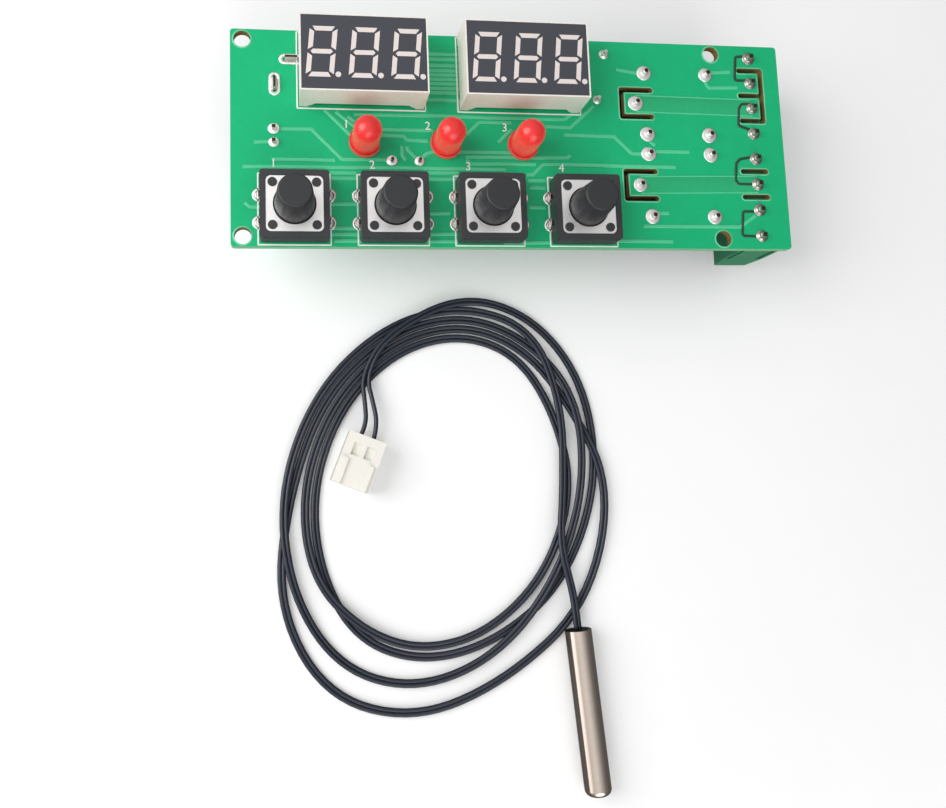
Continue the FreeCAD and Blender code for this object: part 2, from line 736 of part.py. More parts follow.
def terminal_profile(y):
    """The block's outline from the side: upright by the board and leaning in towards the screws."""
    wire = RIGHT_EDGE - TERMINAL_EDGE
    back = wire - TERMINAL_DEPTH
    corners = [
        (back, 0),
        (wire, 0),
        (wire, TERMINAL_SHOULDER),
        (wire - TERMINAL_TAPER, TERMINAL_HEIGHT),
        (back + TERMINAL_TAPER, TERMINAL_HEIGHT),
        (back, TERMINAL_SHOULDER),
    ]
    return [V(x, y, below(depth)) for x, depth in corners]


def contact_back():
    """Where the contact strip's riser stands, outside the cage on the side away from the wires."""
    return TERMINAL_X - CAGE_DEPTH / 2 - CAGE_CLEARANCE - CONTACT_CLEARANCE


def contact_width():
    return CAGE_WIDTH - 2 * (CAGE_SIDE + CONTACT_CLEARANCE)


def dovetails(end, reach, grow):
    """Two tongues that stand out of a block's end towards +Y, or the grooves for them."""
    wire = RIGHT_EDGE - TERMINAL_EDGE
    solids = []
    for x in (wire - TERMINAL_DEPTH + DOVETAIL_BACK, wire - DOVETAIL_WIRE):
        neck = DOVETAIL / 2 + grow
        tip = neck + DOVETAIL_FLARE
        low = below(TERMINAL_SHOULDER)
        corners = [(-neck, end), (neck, end), (tip, end + reach), (-tip, end + reach)]
        solids.append(prism([V(x + out, y, low) for out, y in corners], TERMINAL_SHOULDER))
    return solids


def terminal_housing(number):
    """One two-way block, with a shaft for each cage, a wire entry, a riser slot and a screw well."""
    ways = terminal_ways()[2 * number : 2 * number + 2]
    middle = sum(ways) / 2
    length = 2 * TERMINAL_PITCH - TERMINAL_GAP
    outline = terminal_profile(middle - length / 2)
    body = Part.Face(Part.makePolygon(outline + outline[:1])).extrude(V(0, length, 0))
    shaft_x = CAGE_DEPTH + 2 * CAGE_CLEARANCE
    shaft_y = CAGE_WIDTH + 2 * CAGE_CLEARANCE
    cuts = []
    for y in ways:
        cuts.append(block(TERMINAL_X, y, shaft_x, shaft_y, below(SHELF_TOP), below(0)))
        riser = (contact_back() - CONTACT_STRIP, TERMINAL_X)
        beside = (y - contact_width() / 2, y + contact_width() / 2)
        cuts.append(box(riser, beside, (below(CONTACT_TOP + CONTACT_STRIP), below(0))))
        wire = (TERMINAL_X, RIGHT_EDGE)
        entry = (y - WIRE_WIDTH / 2, y + WIRE_WIDTH / 2)
        cuts.append(box(wire, entry, (below(WIRE_TOP + WIRE_HEIGHT), below(WIRE_TOP))))
        hole = SCREW_DIAMETER + 2 * SCREW_CLEARANCE
        cuts.append(post(TERMINAL_X, y, hole, below(SHELF_TOP + SHELF), below(SHELF_TOP)))
        head = SCREW_HEAD + 2 * SCREW_CLEARANCE
        cuts.append(post(TERMINAL_X, y, head, below(TERMINAL_HEIGHT), below(SHELF_TOP + SHELF)))
    cuts += dovetails(middle - length / 2, DOVETAIL_DEPTH + DOVETAIL_CLEARANCE, DOVETAIL_CLEARANCE)
    solids = [body]
    if number > 0:  # the first block ends flush with the board and has no next one
        solids += dovetails(middle + length / 2, TERMINAL_GAP + DOVETAIL_DEPTH, 0)
    return joined(solids).cut(cuts)


def screw_tip():
    return CONTACT_TOP + CONTACT_STRIP + CONTACT_CLEARANCE


def terminal_screw(y):
    """A slotted screw, head down, that turns on its shelf and draws the cage along."""
    shelf = SHELF_TOP + SHELF + SCREW_CLEARANCE
    face = TERMINAL_HEIGHT - SCREW_SUNK
    shank = post(TERMINAL_X, y, SCREW_DIAMETER, below(shelf), below(screw_tip()))
    head = post(TERMINAL_X, y, SCREW_HEAD, below(face), below(shelf))
    groove = block(TERMINAL_X, y, SCREW_HEAD, SCREW_SLOT, below(face), below(face - SCREW_SLOT_DEPTH))
    return joined([shank, head]).cut(groove)


def terminal_cage(y):
    """A clamp cage, open on both sides for the wire, with the screw through its thick wall."""
    floor = CAGE_TOP + CAGE_HEIGHT
    body = block(TERMINAL_X, y, CAGE_DEPTH, CAGE_WIDTH, below(floor), below(CAGE_TOP))
    inside = CAGE_WIDTH - 2 * CAGE_SIDE
    gap = (below(floor - CAGE_NUT), below(CAGE_TOP + CAGE_FLOOR))
    window = block(TERMINAL_X, y, CAGE_DEPTH, inside, *gap)
    hole = SCREW_DIAMETER + 2 * SCREW_CLEARANCE
    thread = post(TERMINAL_X, y, hole, below(floor), below(floor - CAGE_NUT))
    return body.cut([window, thread])


def terminal_contacts():
    """A folded strip for each way: through the cage, up behind it and back to the pin."""
    strips = []
    back = contact_back()
    front = TERMINAL_X + CAGE_DEPTH / 2 + CAGE_CLEARANCE
    for y in terminal_ways():
        beside = (y - contact_width() / 2, y + contact_width() / 2)
        rest = (below(CONTACT_TOP + CONTACT_STRIP), below(CONTACT_TOP))
        way_back = (below(CONTACT_RETURN + CONTACT_STRIP), below(CONTACT_RETURN))
        solids = [
            box((back - CONTACT_STRIP, front), beside, rest),
            box((back - CONTACT_STRIP, back), beside, (rest[0], way_back[1])),
            box((back - CONTACT_STRIP, TERMINAL_X + TERMINAL_PIN / 2), beside, way_back),
            block(TERMINAL_X, y, TERMINAL_PIN, TERMINAL_PIN, way_back[0], TOPSIDE + LEAD_PAST),
        ]
        strips.append(joined(solids))
    return grouped(strips)


# Power jack


def dc_jack_body():
    """A square front with a rounded barrel behind it, bored from the board's left edge."""
    axis = below(JACK_AXIS)
    half = JACK_WIDTH / 2
    rear = LEFT_EDGE + JACK_LENGTH
    sides = (JACK_Y - half, JACK_Y + half)
    front = box((LEFT_EDGE, LEFT_EDGE + JACK_FLANGE), sides, (axis - half, UNDERSIDE))
    saddle = box((LEFT_EDGE, rear), sides, (axis, UNDERSIDE))
    barrel = Part.makeCylinder(half, JACK_LENGTH, V(LEFT_EDGE, JACK_Y, axis), V(1, 0, 0))
    bore = Part.makeCylinder(JACK_BORE / 2, JACK_BORE_DEPTH, V(LEFT_EDGE, JACK_Y, axis), V(1, 0, 0))
    return joined([front, saddle, barrel]).cut(bore)


def dc_jack_contacts():
    axis = below(JACK_AXIS)
    tip = JACK_PIN / 2
    start = LEFT_EDGE + JACK_PIN_IN + tip
    length = LEFT_EDGE + JACK_BORE_DEPTH - start
    shank = Part.makeCylinder(tip, length, V(start, JACK_Y, axis), V(1, 0, 0))
    nose = Part.makeSphere(tip, V(start, JACK_Y, axis))
    solids = [joined([shank, nose])]
    for x, y, along, past in jack_tabs():
        length, width = (JACK_TAB_WIDTH, JACK_TAB) if along else (JACK_TAB, JACK_TAB_WIDTH)
        solids.append(block(x, y, length, width, UNDERSIDE, TOPSIDE + past))
    return grouped(solids)


# Probe header


def probe_header():
    """A shrouded two-way header with two key slots, open downwards."""
    body = block(HEADER_X, HEADER_Y, HEADER_DEPTH, HEADER_WIDTH, below(HEADER_HEIGHT), UNDERSIDE)
    depth, width = HEADER_DEPTH - 2 * HEADER_WALL, HEADER_WIDTH - 2 * HEADER_WALL
    cuts = [block(HEADER_X, HEADER_Y, depth, width, below(HEADER_HEIGHT), below(HEADER_FLOOR))]
    side = (HEADER_X - HEADER_DEPTH / 2, HEADER_X)
    for x, y in header_pin_places():
        cuts.append(block(x, y, HEADER_PIN, HEADER_PIN, below(HEADER_FLOOR), UNDERSIDE))
        key = (y - HEADER_KEY / 2, y + HEADER_KEY / 2)
        cuts.append(box(side, key, (below(HEADER_HEIGHT), below(HEADER_FLOOR))))
    return body.cut(cuts)


def probe_header_pins():
    low = below(HEADER_HEIGHT - HEADER_PIN_IN)
    high = TOPSIDE + LEAD_PAST
    return grouped([block(x, y, HEADER_PIN, HEADER_PIN, low, high) for x, y in header_pin_places()])


# Capacitor, processor and small parts


def capacitor():
    """A can with a rolled groove near its leads, as tall as the relays, so the board stands level."""
    can = post(CAPACITOR_X, CAPACITOR_Y, CAPACITOR_DIAMETER, 0, UNDERSIDE)
    ring = Part.makeTorus(
        CAPACITOR_DIAMETER / 2 + CAPACITOR_GROOVE / 2,
        CAPACITOR_GROOVE,
        V(CAPACITOR_X, CAPACITOR_Y, below(CAPACITOR_GROOVE_Z)),
    )
    crown = [e for e in can.Edges if e.BoundBox.ZMax < CAPACITOR_ROUND]
    can = can.makeFillet(CAPACITOR_ROUND, crown).cut(ring)
    high = TOPSIDE + LEAD_PAST
    leads = [post(x, y, CAPACITOR_LEAD, UNDERSIDE, high) for x, y in capacitor_lead_places()]
    return grouped([can] + leads)


def microcontroller():
    """A moulded chip with a row of bent leads on each side."""
    rise = below(CHIP_LEAD_RISE)
    solids = [block(CHIP_X, CHIP_Y, CHIP_LENGTH, CHIP_WIDTH, below(CHIP_HEIGHT), below(CHIP_LEAD / 2))]
    middle = (CHIP_LEADS - 1) / 2
    knee = CHIP_WIDTH / 2 + (CHIP_SPAN - CHIP_WIDTH) / 4
    for n in range(CHIP_LEADS):
        x = CHIP_X + (n - middle) * CHIP_LEAD_PITCH
        wide = (x - CHIP_LEAD / 2, x + CHIP_LEAD / 2)
        for side in (1, -1):
            inner = sorted((CHIP_Y + side * CHIP_WIDTH / 2, CHIP_Y + side * knee))
            outer = sorted((CHIP_Y + side * (knee - CHIP_LEAD), CHIP_Y + side * CHIP_SPAN / 2))
            drop = sorted((CHIP_Y + side * (knee - CHIP_LEAD), CHIP_Y + side * knee))
            solids.append(box(wide, inner, (rise, rise + CHIP_LEAD)))
            solids.append(box(wide, drop, (rise, UNDERSIDE)))
            solids.append(box(wide, outer, (below(CHIP_LEAD), UNDERSIDE)))
    return joined(solids)


def chip(x, y, size):
    return block(x, y, size[0], size[1], below(size[2]), UNDERSIDE)


def axial_diode():
    """A round body between two leads that are bent up into the board."""
    radius = DIODE_LEAD / 2
    z = below(DIODE_DIAMETER / 2)
    ends = [V(x, y, z) for x, y in diode_lead_places()]
    run = ends[0] - ends[1]
    axis = V(run).normalize()
    foot = (ends[0] + ends[1]) / 2 - axis * (DIODE_LENGTH / 2)
    solids = [Part.makeCylinder(DIODE_DIAMETER / 2, DIODE_LENGTH, foot, axis)]
    solids.append(Part.makeCylinder(radius, run.Length, ends[1], axis))
    for end in ends:
        solids.append(Part.makeSphere(radius, end))
        solids.append(post(end.x, end.y, DIODE_LEAD, z, TOPSIDE + LEAD_PAST))
    return joined(solids)


def small_parts():
    solids = [chip(REGULATOR_X, REGULATOR_Y, REGULATOR_SIZE), axial_diode()]
    solids += [chip(DRIVER_X, side * DRIVER_Y, DRIVER_SIZE) for side in (1, -1)]
    solids += [chip(RESISTOR_X + RESISTOR_PITCH * n, RESISTOR_Y, RESISTOR_SIZE) for n in range(RESISTORS)]
    return grouped(solids)


# Probe


def coil_place(angle):
    """A point of the lead's turns and the way it runs there. The angle falls from the plug outwards."""
    turns = (COIL_START - angle) / 360
    tilt = math.radians(COIL_TILT)
    across = V(math.cos(tilt), -math.sin(tilt), 0)
    along = V(math.sin(tilt), math.cos(tilt), 0)
    wide = COIL_HALF_WIDTH + COIL_WIDTH_STEP * turns
    tall = COIL_HALF_LENGTH + COIL_LENGTH_STEP * turns
    a = math.radians(angle)
    right = COIL_SIDE_STEP * turns + wide * math.cos(a)
    up = -COIL_DOWN_STEP * turns + tall * math.sin(a)
    point = V(COIL_X, COIL_Y, lead_height()) + across * right + along * up
    per_radian = -1 / (2 * math.pi)
    right_rate = (COIL_SIDE_STEP + COIL_WIDTH_STEP * math.cos(a)) * per_radian - wide * math.sin(a)
    up_rate = (COIL_LENGTH_STEP * math.sin(a) - COIL_DOWN_STEP) * per_radian + tall * math.cos(a)
    heading = across * -right_rate + along * -up_rate
    return point, heading.normalize()


def lead_height():
    return LEAD_LIFT + LEAD_DIAMETER / 2


def sleeve_axis():
    turn = math.radians(SLEEVE_TURN)
    return V(math.sin(turn), -math.cos(turn), 0)


def sleeve_mouth():
    return V(COIL_X + SLEEVE_X, COIL_Y + SLEEVE_Y, SLEEVE_DIAMETER / 2)


def plug_axis():
    """The way the lead leaves the plug."""
    turn = math.radians(PLUG_TURN)
    return V(math.sin(turn), math.cos(turn), 0)


def plug_back():
    return V(COIL_X + PLUG_X, COIL_Y + PLUG_Y, PLUG_DEPTH / 2) + plug_axis() * (PLUG_LENGTH / 2)


def lead_knots():
    """Points and headings along the lead, a quarter turn or less apart, without its straight ends."""
    knots = [(plug_back() + plug_axis() * LEAD_DIAMETER, plug_axis())]
    quarters = [90 - 90 * n for n in range(4 * COIL_TURNS + 2)]
    knots += [coil_place(angle) for angle in [COIL_START] + quarters]
    knots.append((sleeve_mouth() - sleeve_axis() * LEAD_DIAMETER, sleeve_axis()))
    return knots


def arc_between(start, heading, end):
    """The arc from start, along heading, to end."""
    chord = end - start
    off = chord - heading * chord.dot(heading)
    if off.Length < 1e-6:
        return Part.LineSegment(start, end)
    side = V(off).normalize()
    radius = chord.dot(chord) / (2 * chord.dot(side))
    centre = start + side * radius
    out = (start + chord * 0.5) - centre
    return Part.Arc(start, centre + out.normalize() * abs(radius), end)


def biarc(start, end):
    """Two arcs that join two points and run along their headings there."""
    (p, t), (q, u) = start, end
    v = q - p
    total = t + u
    spread = 2 * (1 - t.dot(u))
    reach = v.dot(total)
    if spread < 1e-9:
        size = v.dot(v) / (2 * reach)
    else:
        size = (math.sqrt(reach * reach + spread * v.dot(v)) - reach) / spread
    middle = (p + t * size + q - u * size) * 0.5
    first = arc_between(p, t, middle)
    second = arc_between(q, u * -1, middle)
    return [first, second]


def lead_path():
    knots = lead_knots()
    curves = [Part.LineSegment(plug_back(), knots[0][0])]
    for start, end in zip(knots, knots[1:]):
        curves += biarc(start, end)
    curves.append(Part.LineSegment(knots[-1][0], sleeve_mouth()))
    return [curve.toShape() for curve in curves]


def least_gap(path):
    """The least space between two stretches of the lead, measured on points a millimetre apart."""
    points = path.discretize(Distance=1.0)
    apart = 8  # points nearer along the lead than this are one stretch
    least = min(
        (a - b).Length for n, a in enumerate(points) for b in points[n + apart :]
    )
    return least - LEAD_DIAMETER


def probe_lead():
    edges = lead_path()
    path = Part.Wire(edges)
    ring = Part.makeCircle(LEAD_DIAMETER / 2, plug_back(), plug_axis())
    tube = path.makePipeShell([Part.Wire([ring])], True, False)
    radii = [e.Curve.Radius for e in edges if hasattr(e.Curve, "Radius")]
    ideal = math.pi * LEAD_DIAMETER**2 / 4 * path.Length
    print(f"lead: length {path.Length:.0f} mm, tightest bend {min(radii):.1f} mm")
    print(f"lead: least gap to itself {least_gap(path):.2f} mm")
    print(f"lead: volume over section by length {tube.Volume / ideal:.4f}")
    return tube


def probe_sleeve():
    """A drawn tube, closed and rounded at its far end."""
    outer = Part.makeCylinder(SLEEVE_DIAMETER / 2, SLEEVE_LENGTH, sleeve_mouth(), sleeve_axis())
    end = sleeve_mouth() + sleeve_axis() * SLEEVE_LENGTH
    tip = [e for e in outer.Edges if (e.BoundBox.Center - end).Length < 1e-3]
    outer = outer.makeFillet(SLEEVE_NOSE, tip)
    depth = SLEEVE_LENGTH - SLEEVE_END
    bore = SLEEVE_DIAMETER / 2 - SLEEVE_WALL
    return outer.cut(Part.makeCylinder(bore, depth, sleeve_mouth(), sleeve_axis()))


def probe_seal():
    """Potting that fills the sleeve's mouth round the end of the lead."""
    radius = SLEEVE_DIAMETER / 2 - SLEEVE_WALL
    return Part.makeCylinder(radius, SEAL_LENGTH, sleeve_mouth(), sleeve_axis())


def probe_plug():
    """A two-way crimp housing with a socket for each pin, latch windows and two side ribs."""
    x, y = COIL_X + PLUG_X, COIL_Y + PLUG_Y
    front = y - PLUG_LENGTH / 2
    body = block(x, y, PLUG_WIDTH, PLUG_LENGTH, 0, PLUG_DEPTH)
    rib_top = PLUG_DEPTH + PLUG_RIB
    rib_y = front + PLUG_RIB_LENGTH / 2
    ribs = []
    cuts = []
    for side in (1, -1):
        rib_x = x + side * PLUG_PITCH
        ribs.append(block(rib_x, rib_y, PLUG_RIB_WIDTH, PLUG_RIB_LENGTH, PLUG_DEPTH, rib_top))
        way = x + side * PLUG_PITCH / 2
        half = PLUG_SOCKET / 2
        z = PLUG_DEPTH / 2
        cuts.append(box((way - half, way + half), (front, front + PLUG_SOCKET_DEPTH), (z - half, z + half)))
        top = PLUG_DEPTH - PLUG_WINDOW_DEPTH
        cuts.append(block(way, y + PLUG_WINDOW_Y, PLUG_WINDOW, PLUG_WINDOW_LENGTH, top, PLUG_DEPTH))
    plug = joined([body] + ribs).cut(cuts)
    return plug.rotate(V(x, y, 0), V(0, 0, 1), -PLUG_TURN)


def nodes():
    left, right = display_centres()
    found = {
        "circuit_board": circuit_board(),
        "display_left_housing": display_housing(left),
        "display_left_face": display_face(left),
        "display_left_segments": display_segments(left),
        "display_right_housing": display_housing(right),
        "display_right_face": display_face(right),
        "display_right_segments": display_segments(right),
        "display_pins": display_pins(),
        "indicator_leads": indicator_leads(),
        "switch_cover_plates": switch_cover_plates(),
        "switch_domes": switch_domes(),
        "switch_legs": switch_legs(),
        "relay_1_case": relay_case(RELAY_SIDES[0]),
        "relay_2_case": relay_case(RELAY_SIDES[1]),
        "relay_bases": relay_bases(),
        "relay_works": relay_works(),
        "relay_pins": relay_pins(),
        "terminal_contacts": terminal_contacts(),
        "dc_jack_body": dc_jack_body(),
        "dc_jack_contacts": dc_jack_contacts(),
        "probe_header": probe_header(),
        "probe_header_pins": probe_header_pins(),
        "capacitor": capacitor(),
        "microcontroller": microcontroller(),
        "small_parts": small_parts(),
        "probe_sleeve": probe_sleeve(),
        "probe_seal": probe_seal(),
        "probe_lead": probe_lead(),
        "probe_plug": probe_plug(),
    }
    for name, x in zip(("left", "middle", "right"), LAMP_X):
        found[f"indicator_{name}"] = indicator(x)
    for n, x in enumerate(switch_centres(), 1):
        found[f"switch_{n}_base"] = switch_base(x)
        found[f"switch_{n}_plunger"] = switch_plunger(x)
    for n in range(TERMINAL_BLOCKS):
        found[f"terminal_{n + 1}_housing"] = terminal_housing(n)
    for n, y in enumerate(terminal_ways(), 1):
        found[f"terminal_screw_{n}"] = terminal_screw(y)
        found[f"terminal_cage_{n}"] = terminal_cage(y)
    return found


os.makedirs("parts", exist_ok=True)
for name, shape in nodes().items():
    shape.exportStep(f"parts/{name}.step")
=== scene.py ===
# %% [markdown]
# An oven's controller board, seen from its display side, with its thermistor probe beside it. The solids
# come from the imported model, in metres. This lesson adds what a solid model leaves out: finishes, solder,
# tracks, printed outlines and a soft lead. Every piece is made in the same frame, so nothing needs fitting
# afterwards.

import fnmatch
import math

import bmesh
import bpy
import numpy as np
from mathutils import Matrix, Vector


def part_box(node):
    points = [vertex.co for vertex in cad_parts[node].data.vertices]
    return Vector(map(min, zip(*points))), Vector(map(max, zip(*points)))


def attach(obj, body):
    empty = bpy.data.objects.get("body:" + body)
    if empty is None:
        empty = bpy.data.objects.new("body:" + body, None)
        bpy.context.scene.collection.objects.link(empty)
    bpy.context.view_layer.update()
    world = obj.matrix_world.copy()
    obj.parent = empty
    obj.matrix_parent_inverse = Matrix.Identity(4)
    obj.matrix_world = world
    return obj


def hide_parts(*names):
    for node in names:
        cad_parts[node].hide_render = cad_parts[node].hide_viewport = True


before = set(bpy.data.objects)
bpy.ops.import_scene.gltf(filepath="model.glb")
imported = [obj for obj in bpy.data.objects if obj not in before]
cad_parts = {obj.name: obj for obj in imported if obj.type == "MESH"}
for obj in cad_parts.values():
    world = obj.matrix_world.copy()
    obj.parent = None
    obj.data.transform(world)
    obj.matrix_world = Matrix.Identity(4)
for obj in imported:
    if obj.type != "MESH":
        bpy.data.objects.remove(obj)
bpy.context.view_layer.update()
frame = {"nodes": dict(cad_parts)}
MM = 0.001
board_low, board_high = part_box("circuit_board")
UNDER = board_low[2] / MM
TOP = board_high[2] / MM
print("nodes:", len(frame["nodes"]), "board from", round(UNDER, 2), "to", round(TOP, 2), "mm")

# %% [markdown]
# The camera stands where the photographer's did: above the left end of the board and a little in front of
# it, so that the left wall of the right display and the front walls of both show. The view is widened until
# the probe, which lies in front of the board at its own real size, is in the frame as well. A small shift
# keeps the board's edges nearly parallel, which turning the camera alone would not.

# %% Camera
CAMERA_PLACE = (-43.0, -60.3, 176.5)
LOOKS_ALONG = (0.134, 0.130, -1.0)
ROLL = math.radians(-1.6)
LENS = 35.13
SHIFT = (0.07, -0.05)
NEAREST = 0.005

camera_data = bpy.data.cameras.new("camera")
camera = bpy.data.objects.new("camera", camera_data)
bpy.context.collection.objects.link(camera)
ahead = Vector(LOOKS_ALONG).normalized()
right = ahead.cross(Vector((0, 1, 0))).normalized()
up = right.cross(ahead)
across = right * math.cos(ROLL) + up * math.sin(ROLL)
upward = up * math.cos(ROLL) - right * math.sin(ROLL)
turn = Matrix((across, upward, -ahead)).transposed().to_4x4()
camera.matrix_world = Matrix.Translation(Vector(CAMERA_PLACE) * MM) @ turn
camera_data.lens = LENS
camera_data.shift_x, camera_data.shift_y = SHIFT
camera_data.clip_start = NEAREST
bpy.context.scene.camera = camera
print("camera at", [round(v, 4) for v in camera.location])

# %% [markdown]
# The probe's lead is a flat pair of thin cores in one black skin. It runs clockwise from the plug to the
# sleeve in loose turns. The solid's turns grow evenly, but nothing ties the real ones: they bunch at the
# left, fan out at the bottom, one swings wide at the right, and the ends cross over the rest. So each
# control point stands off the inmost turn by its own distance, and rises where the lead passes over itself.
# A NURBS curve stays smooth between its points, so twelve are enough for a turn.

# %% The lead's line
COIL = np.array((-13.5, -63.0))
TILT = math.radians(20.0)
COIL_ACROSS = np.array((math.cos(TILT), -math.sin(TILT))) * 23.3
COIL_ALONG = np.array((math.sin(TILT), math.cos(TILT))) * 30.4
COIL_START = 135
COIL_STEP = 30
PLUG_TURN = math.radians(22.0)
PLUG_WAY = np.array((math.sin(PLUG_TURN), math.cos(PLUG_TURN), 0.0))
PLUG_BACK = np.array((-29.5, -57.5, 2.85)) + PLUG_WAY * 4.9
SLEEVE_TURN = math.radians(4.6)
SLEEVE_WAY = np.array((math.sin(SLEEVE_TURN), -math.cos(SLEEVE_TURN), 0.0))
MOUTH = np.array((11.5, -90.0, 2.5))
STAND_OFF = (
    (4.6, 8.2, 8.6, 8.2, 7.2, 6.0, 3.4, 2.2, 1.9, 0.6, 0.8, 1.0),
    (0.8, 0.4, 0.4, 0.0, 2.2, 2.2, 1.2, 0.2, 0.0, 2.4, 2.8, 2.8),
    (2.6, 2.3, 2.3, 3.3, 9.8, 12.2, 10.6, 12.6, 13.4, 10.2, 4.9, 4.7),
    (4.4, 4.2, 4.1, 5.0, 4.4, 4.1, 5.6, 7.2, 8.0, 7.0, 6.8, 6.5),
    (6.2, 6.1, 5.9, 1.6, 0.2),
)
HEIGHT = (
    (1.5, 1.3, 0.5, 0.5, 0.5, 0.5, 0.5, 0.5, 0.5, 0.5, 0.5, 0.5),
    (0.5, 0.5, 0.5, 0.5, 0.5, 0.5, 0.5, 0.5, 1.7, 1.1, 0.5, 0.6),
    (0.6, 0.5, 0.5, 1.3, 1.4, 0.5, 0.5, 0.5, 0.5, 0.5, 0.5, 0.5),
    (0.5, 0.5, 0.5, 2.8, 1.1, 1.6, 1.1, 0.5, 0.5, 1.4, 1.3, 0.6),
    (0.6, 0.5, 2.9, 2.0, 0.8),
)


def coil_point(step, off, height):
    """A point of the turns, a twelfth of a turn from the one before it, clockwise."""
    a = math.radians(COIL_START - COIL_STEP * step)
    arm = COIL_ACROSS * math.cos(a) + COIL_ALONG * math.sin(a)
    flat = COIL + arm * (1 + off / np.linalg.norm(arm))
    return np.array((flat[0], flat[1], height))


route = [PLUG_BACK, PLUG_BACK + PLUG_WAY * 2.5]
route += [PLUG_BACK + (0.6, 6.2, -0.45), PLUG_BACK + (-0.3, 12.0, -1.45)]
for offs, heights in zip(STAND_OFF, HEIGHT):
    route += [coil_point(step, off, height) for step, (off, height) in enumerate(zip(offs, heights))]
route += [MOUTH - SLEEVE_WAY * 16 + (-1.4, 0, -0.1), MOUTH - SLEEVE_WAY * 7 + (0, 0, -0.2)]
route += [MOUTH - SLEEVE_WAY * 2.5, MOUTH]
line_data = bpy.data.curves.new("lead_line", "CURVE")
line_data.dimensions = "3D"
line_data.resolution_u = 8
spline = line_data.splines.new("NURBS")
spline.points.add(len(route) - 1)
for knot, place in zip(spline.points, route):
    knot.co = (*(place * MM), 1.0)
spline.order_u = 3
spline.use_endpoint_u = True
line = bpy.data.objects.new("lead_line", line_data)
bpy.context.collection.objects.link(line)
line_mesh = bpy.data.meshes.new_from_object(line)
lead_points = np.array([v.co[:] for v in line_mesh.vertices])
bpy.data.objects.remove(line)
run = np.concatenate(([0.0], np.cumsum(np.linalg.norm(np.diff(lead_points, axis=0), axis=1))))
print("lead:", len(route), "control points,", len(lead_points), "points,", round(run[-1], 3), "m")

# %% [markdown]
# The pair is swept as two round cores that touch. Near the plug the skin is split, and each core goes to
# its own way of the plug, so the cores part over the last few millimetres. The pair also rolls over slowly
# along its length, as a flat lead does when it lies in loose turns.

# %% The two cores


def unit(vectors):
    """Vectors scaled to a length of 1."""
    return vectors / np.linalg.norm(vectors, axis=1)[:, None]


def ways_along(points):
    """The level way to the side and the way up at each point of a line."""
    ahead = unit(np.gradient(points, axis=0))
    side = unit(np.cross(ahead, (0, 0, 1.0)))
    return side, np.cross(side, ahead)


def tube(points, radius, sides=10):
    """Corners and faces of a closed round tube along points."""
    side, over = ways_along(points)
    turns = np.linspace(0, 2 * math.pi, sides, endpoint=False)
    ring = [points + radius * (math.cos(t) * side + math.sin(t) * over) for t in turns]
    corners = np.stack(ring, axis=1).reshape(-1, 3)
    faces = []
    for n in range(len(points) - 1):
        for k in range(sides):
            j = (k + 1) % sides
            faces.append((n * sides + k, n * sides + j, (n + 1) * sides + j, (n + 1) * sides + k))
    faces.append(tuple(range(sides))[::-1])
    faces.append(tuple((len(points) - 1) * sides + k for k in range(sides)))
    return corners, faces


def piece_from(name, parts, smooth=True):
    """One mesh object at the origin from several sets of corners and faces."""
    corners, faces = [], []
    for part_corners, part_faces in parts:
        start = len(corners)
        corners += [tuple(c) for c in part_corners]
        faces += [tuple(start + k for k in face) for face in part_faces]
    mesh = bpy.data.meshes.new(name)
    mesh.from_pydata(corners, [], faces)
    if smooth:
        mesh.shade_smooth()
    else:
        mesh.shade_flat()
    piece = bpy.data.objects.new(name, mesh)
    bpy.context.collection.objects.link(piece)
    return piece


CORE_RADIUS = 0.43 * MM
CORE_APART = 0.38 * MM
SPLIT_APART = 0.87 * MM
SPLIT_LENGTH = 16 * MM
SPLIT_CURVE = 1.5
OFF_FLOOR = 0.02 * MM
# how far the pair rolls over, in radians, over what length, in metres, and where that starts
ROLLS = ((0.22, 0.041, 0.0), (0.14, 0.017, 1.0))
BOTH_WAYS = (1, -1)
flat_side, lift_side = ways_along(lead_points)
lean = sum(far * np.sin(run / length + start) for far, length, start in ROLLS)
pair_side = flat_side * np.cos(lean)[:, None] + lift_side * np.sin(lean)[:, None]
split = np.clip((SPLIT_LENGTH - run) / SPLIT_LENGTH, 0, 1) ** SPLIT_CURVE
half_gap = CORE_APART + split * SPLIT_APART
cores = []
for way in BOTH_WAYS:
    core_line = lead_points + pair_side * (way * half_gap)[:, None]
    core_line[:, 2] = np.maximum(core_line[:, 2], CORE_RADIUS + OFF_FLOOR)
    cores.append(tube(core_line, CORE_RADIUS))
lead = piece_from("lead_pair", cores)
print("lead pair:", len(lead.data.polygons), "faces, split over", round(SPLIT_LENGTH / MM), "mm")

# %% [markdown]
# The floor is a pale sheet. The panels of light don't reach far, so to the camera the floor brightens with
# distance, and looks even. Bright metal shows only what it reflects, so in reflections the floor is darker,
# which gives steel its dark edges. A material is a tree of nodes, and a few helpers keep it short.

# %% The floor


def new_material(name):
    """A material, its node tree and its shader."""
    material = bpy.data.materials.new(name)
    material.use_nodes = True
    tree = material.node_tree
    return material, tree, tree.nodes["Principled BSDF"]


def feed(tree, node, values):
    """Set a node's inputs to values, or link them to sockets."""
    for key, value in values.items():
        socket = node.inputs[key]
        if isinstance(value, bpy.types.NodeSocket):
            tree.links.new(value, socket)
        else:
            socket.default_value = value


def add(tree, kind, values=None, **settings):
    """A node with its settings made and its inputs fed."""
    node = tree.nodes.new(kind)
    for key, value in settings.items():
        setattr(node, key, value)
    feed(tree, node, values or {})
    return node


def out(tree, kind, values=None, **settings):
    """The first output of a new node."""
    return add(tree, kind, values, **settings).outputs[0]


def math_node(tree, operation, first, second=0.0):
    return out(tree, "ShaderNodeMath", {0: first, 1: second}, operation=operation)


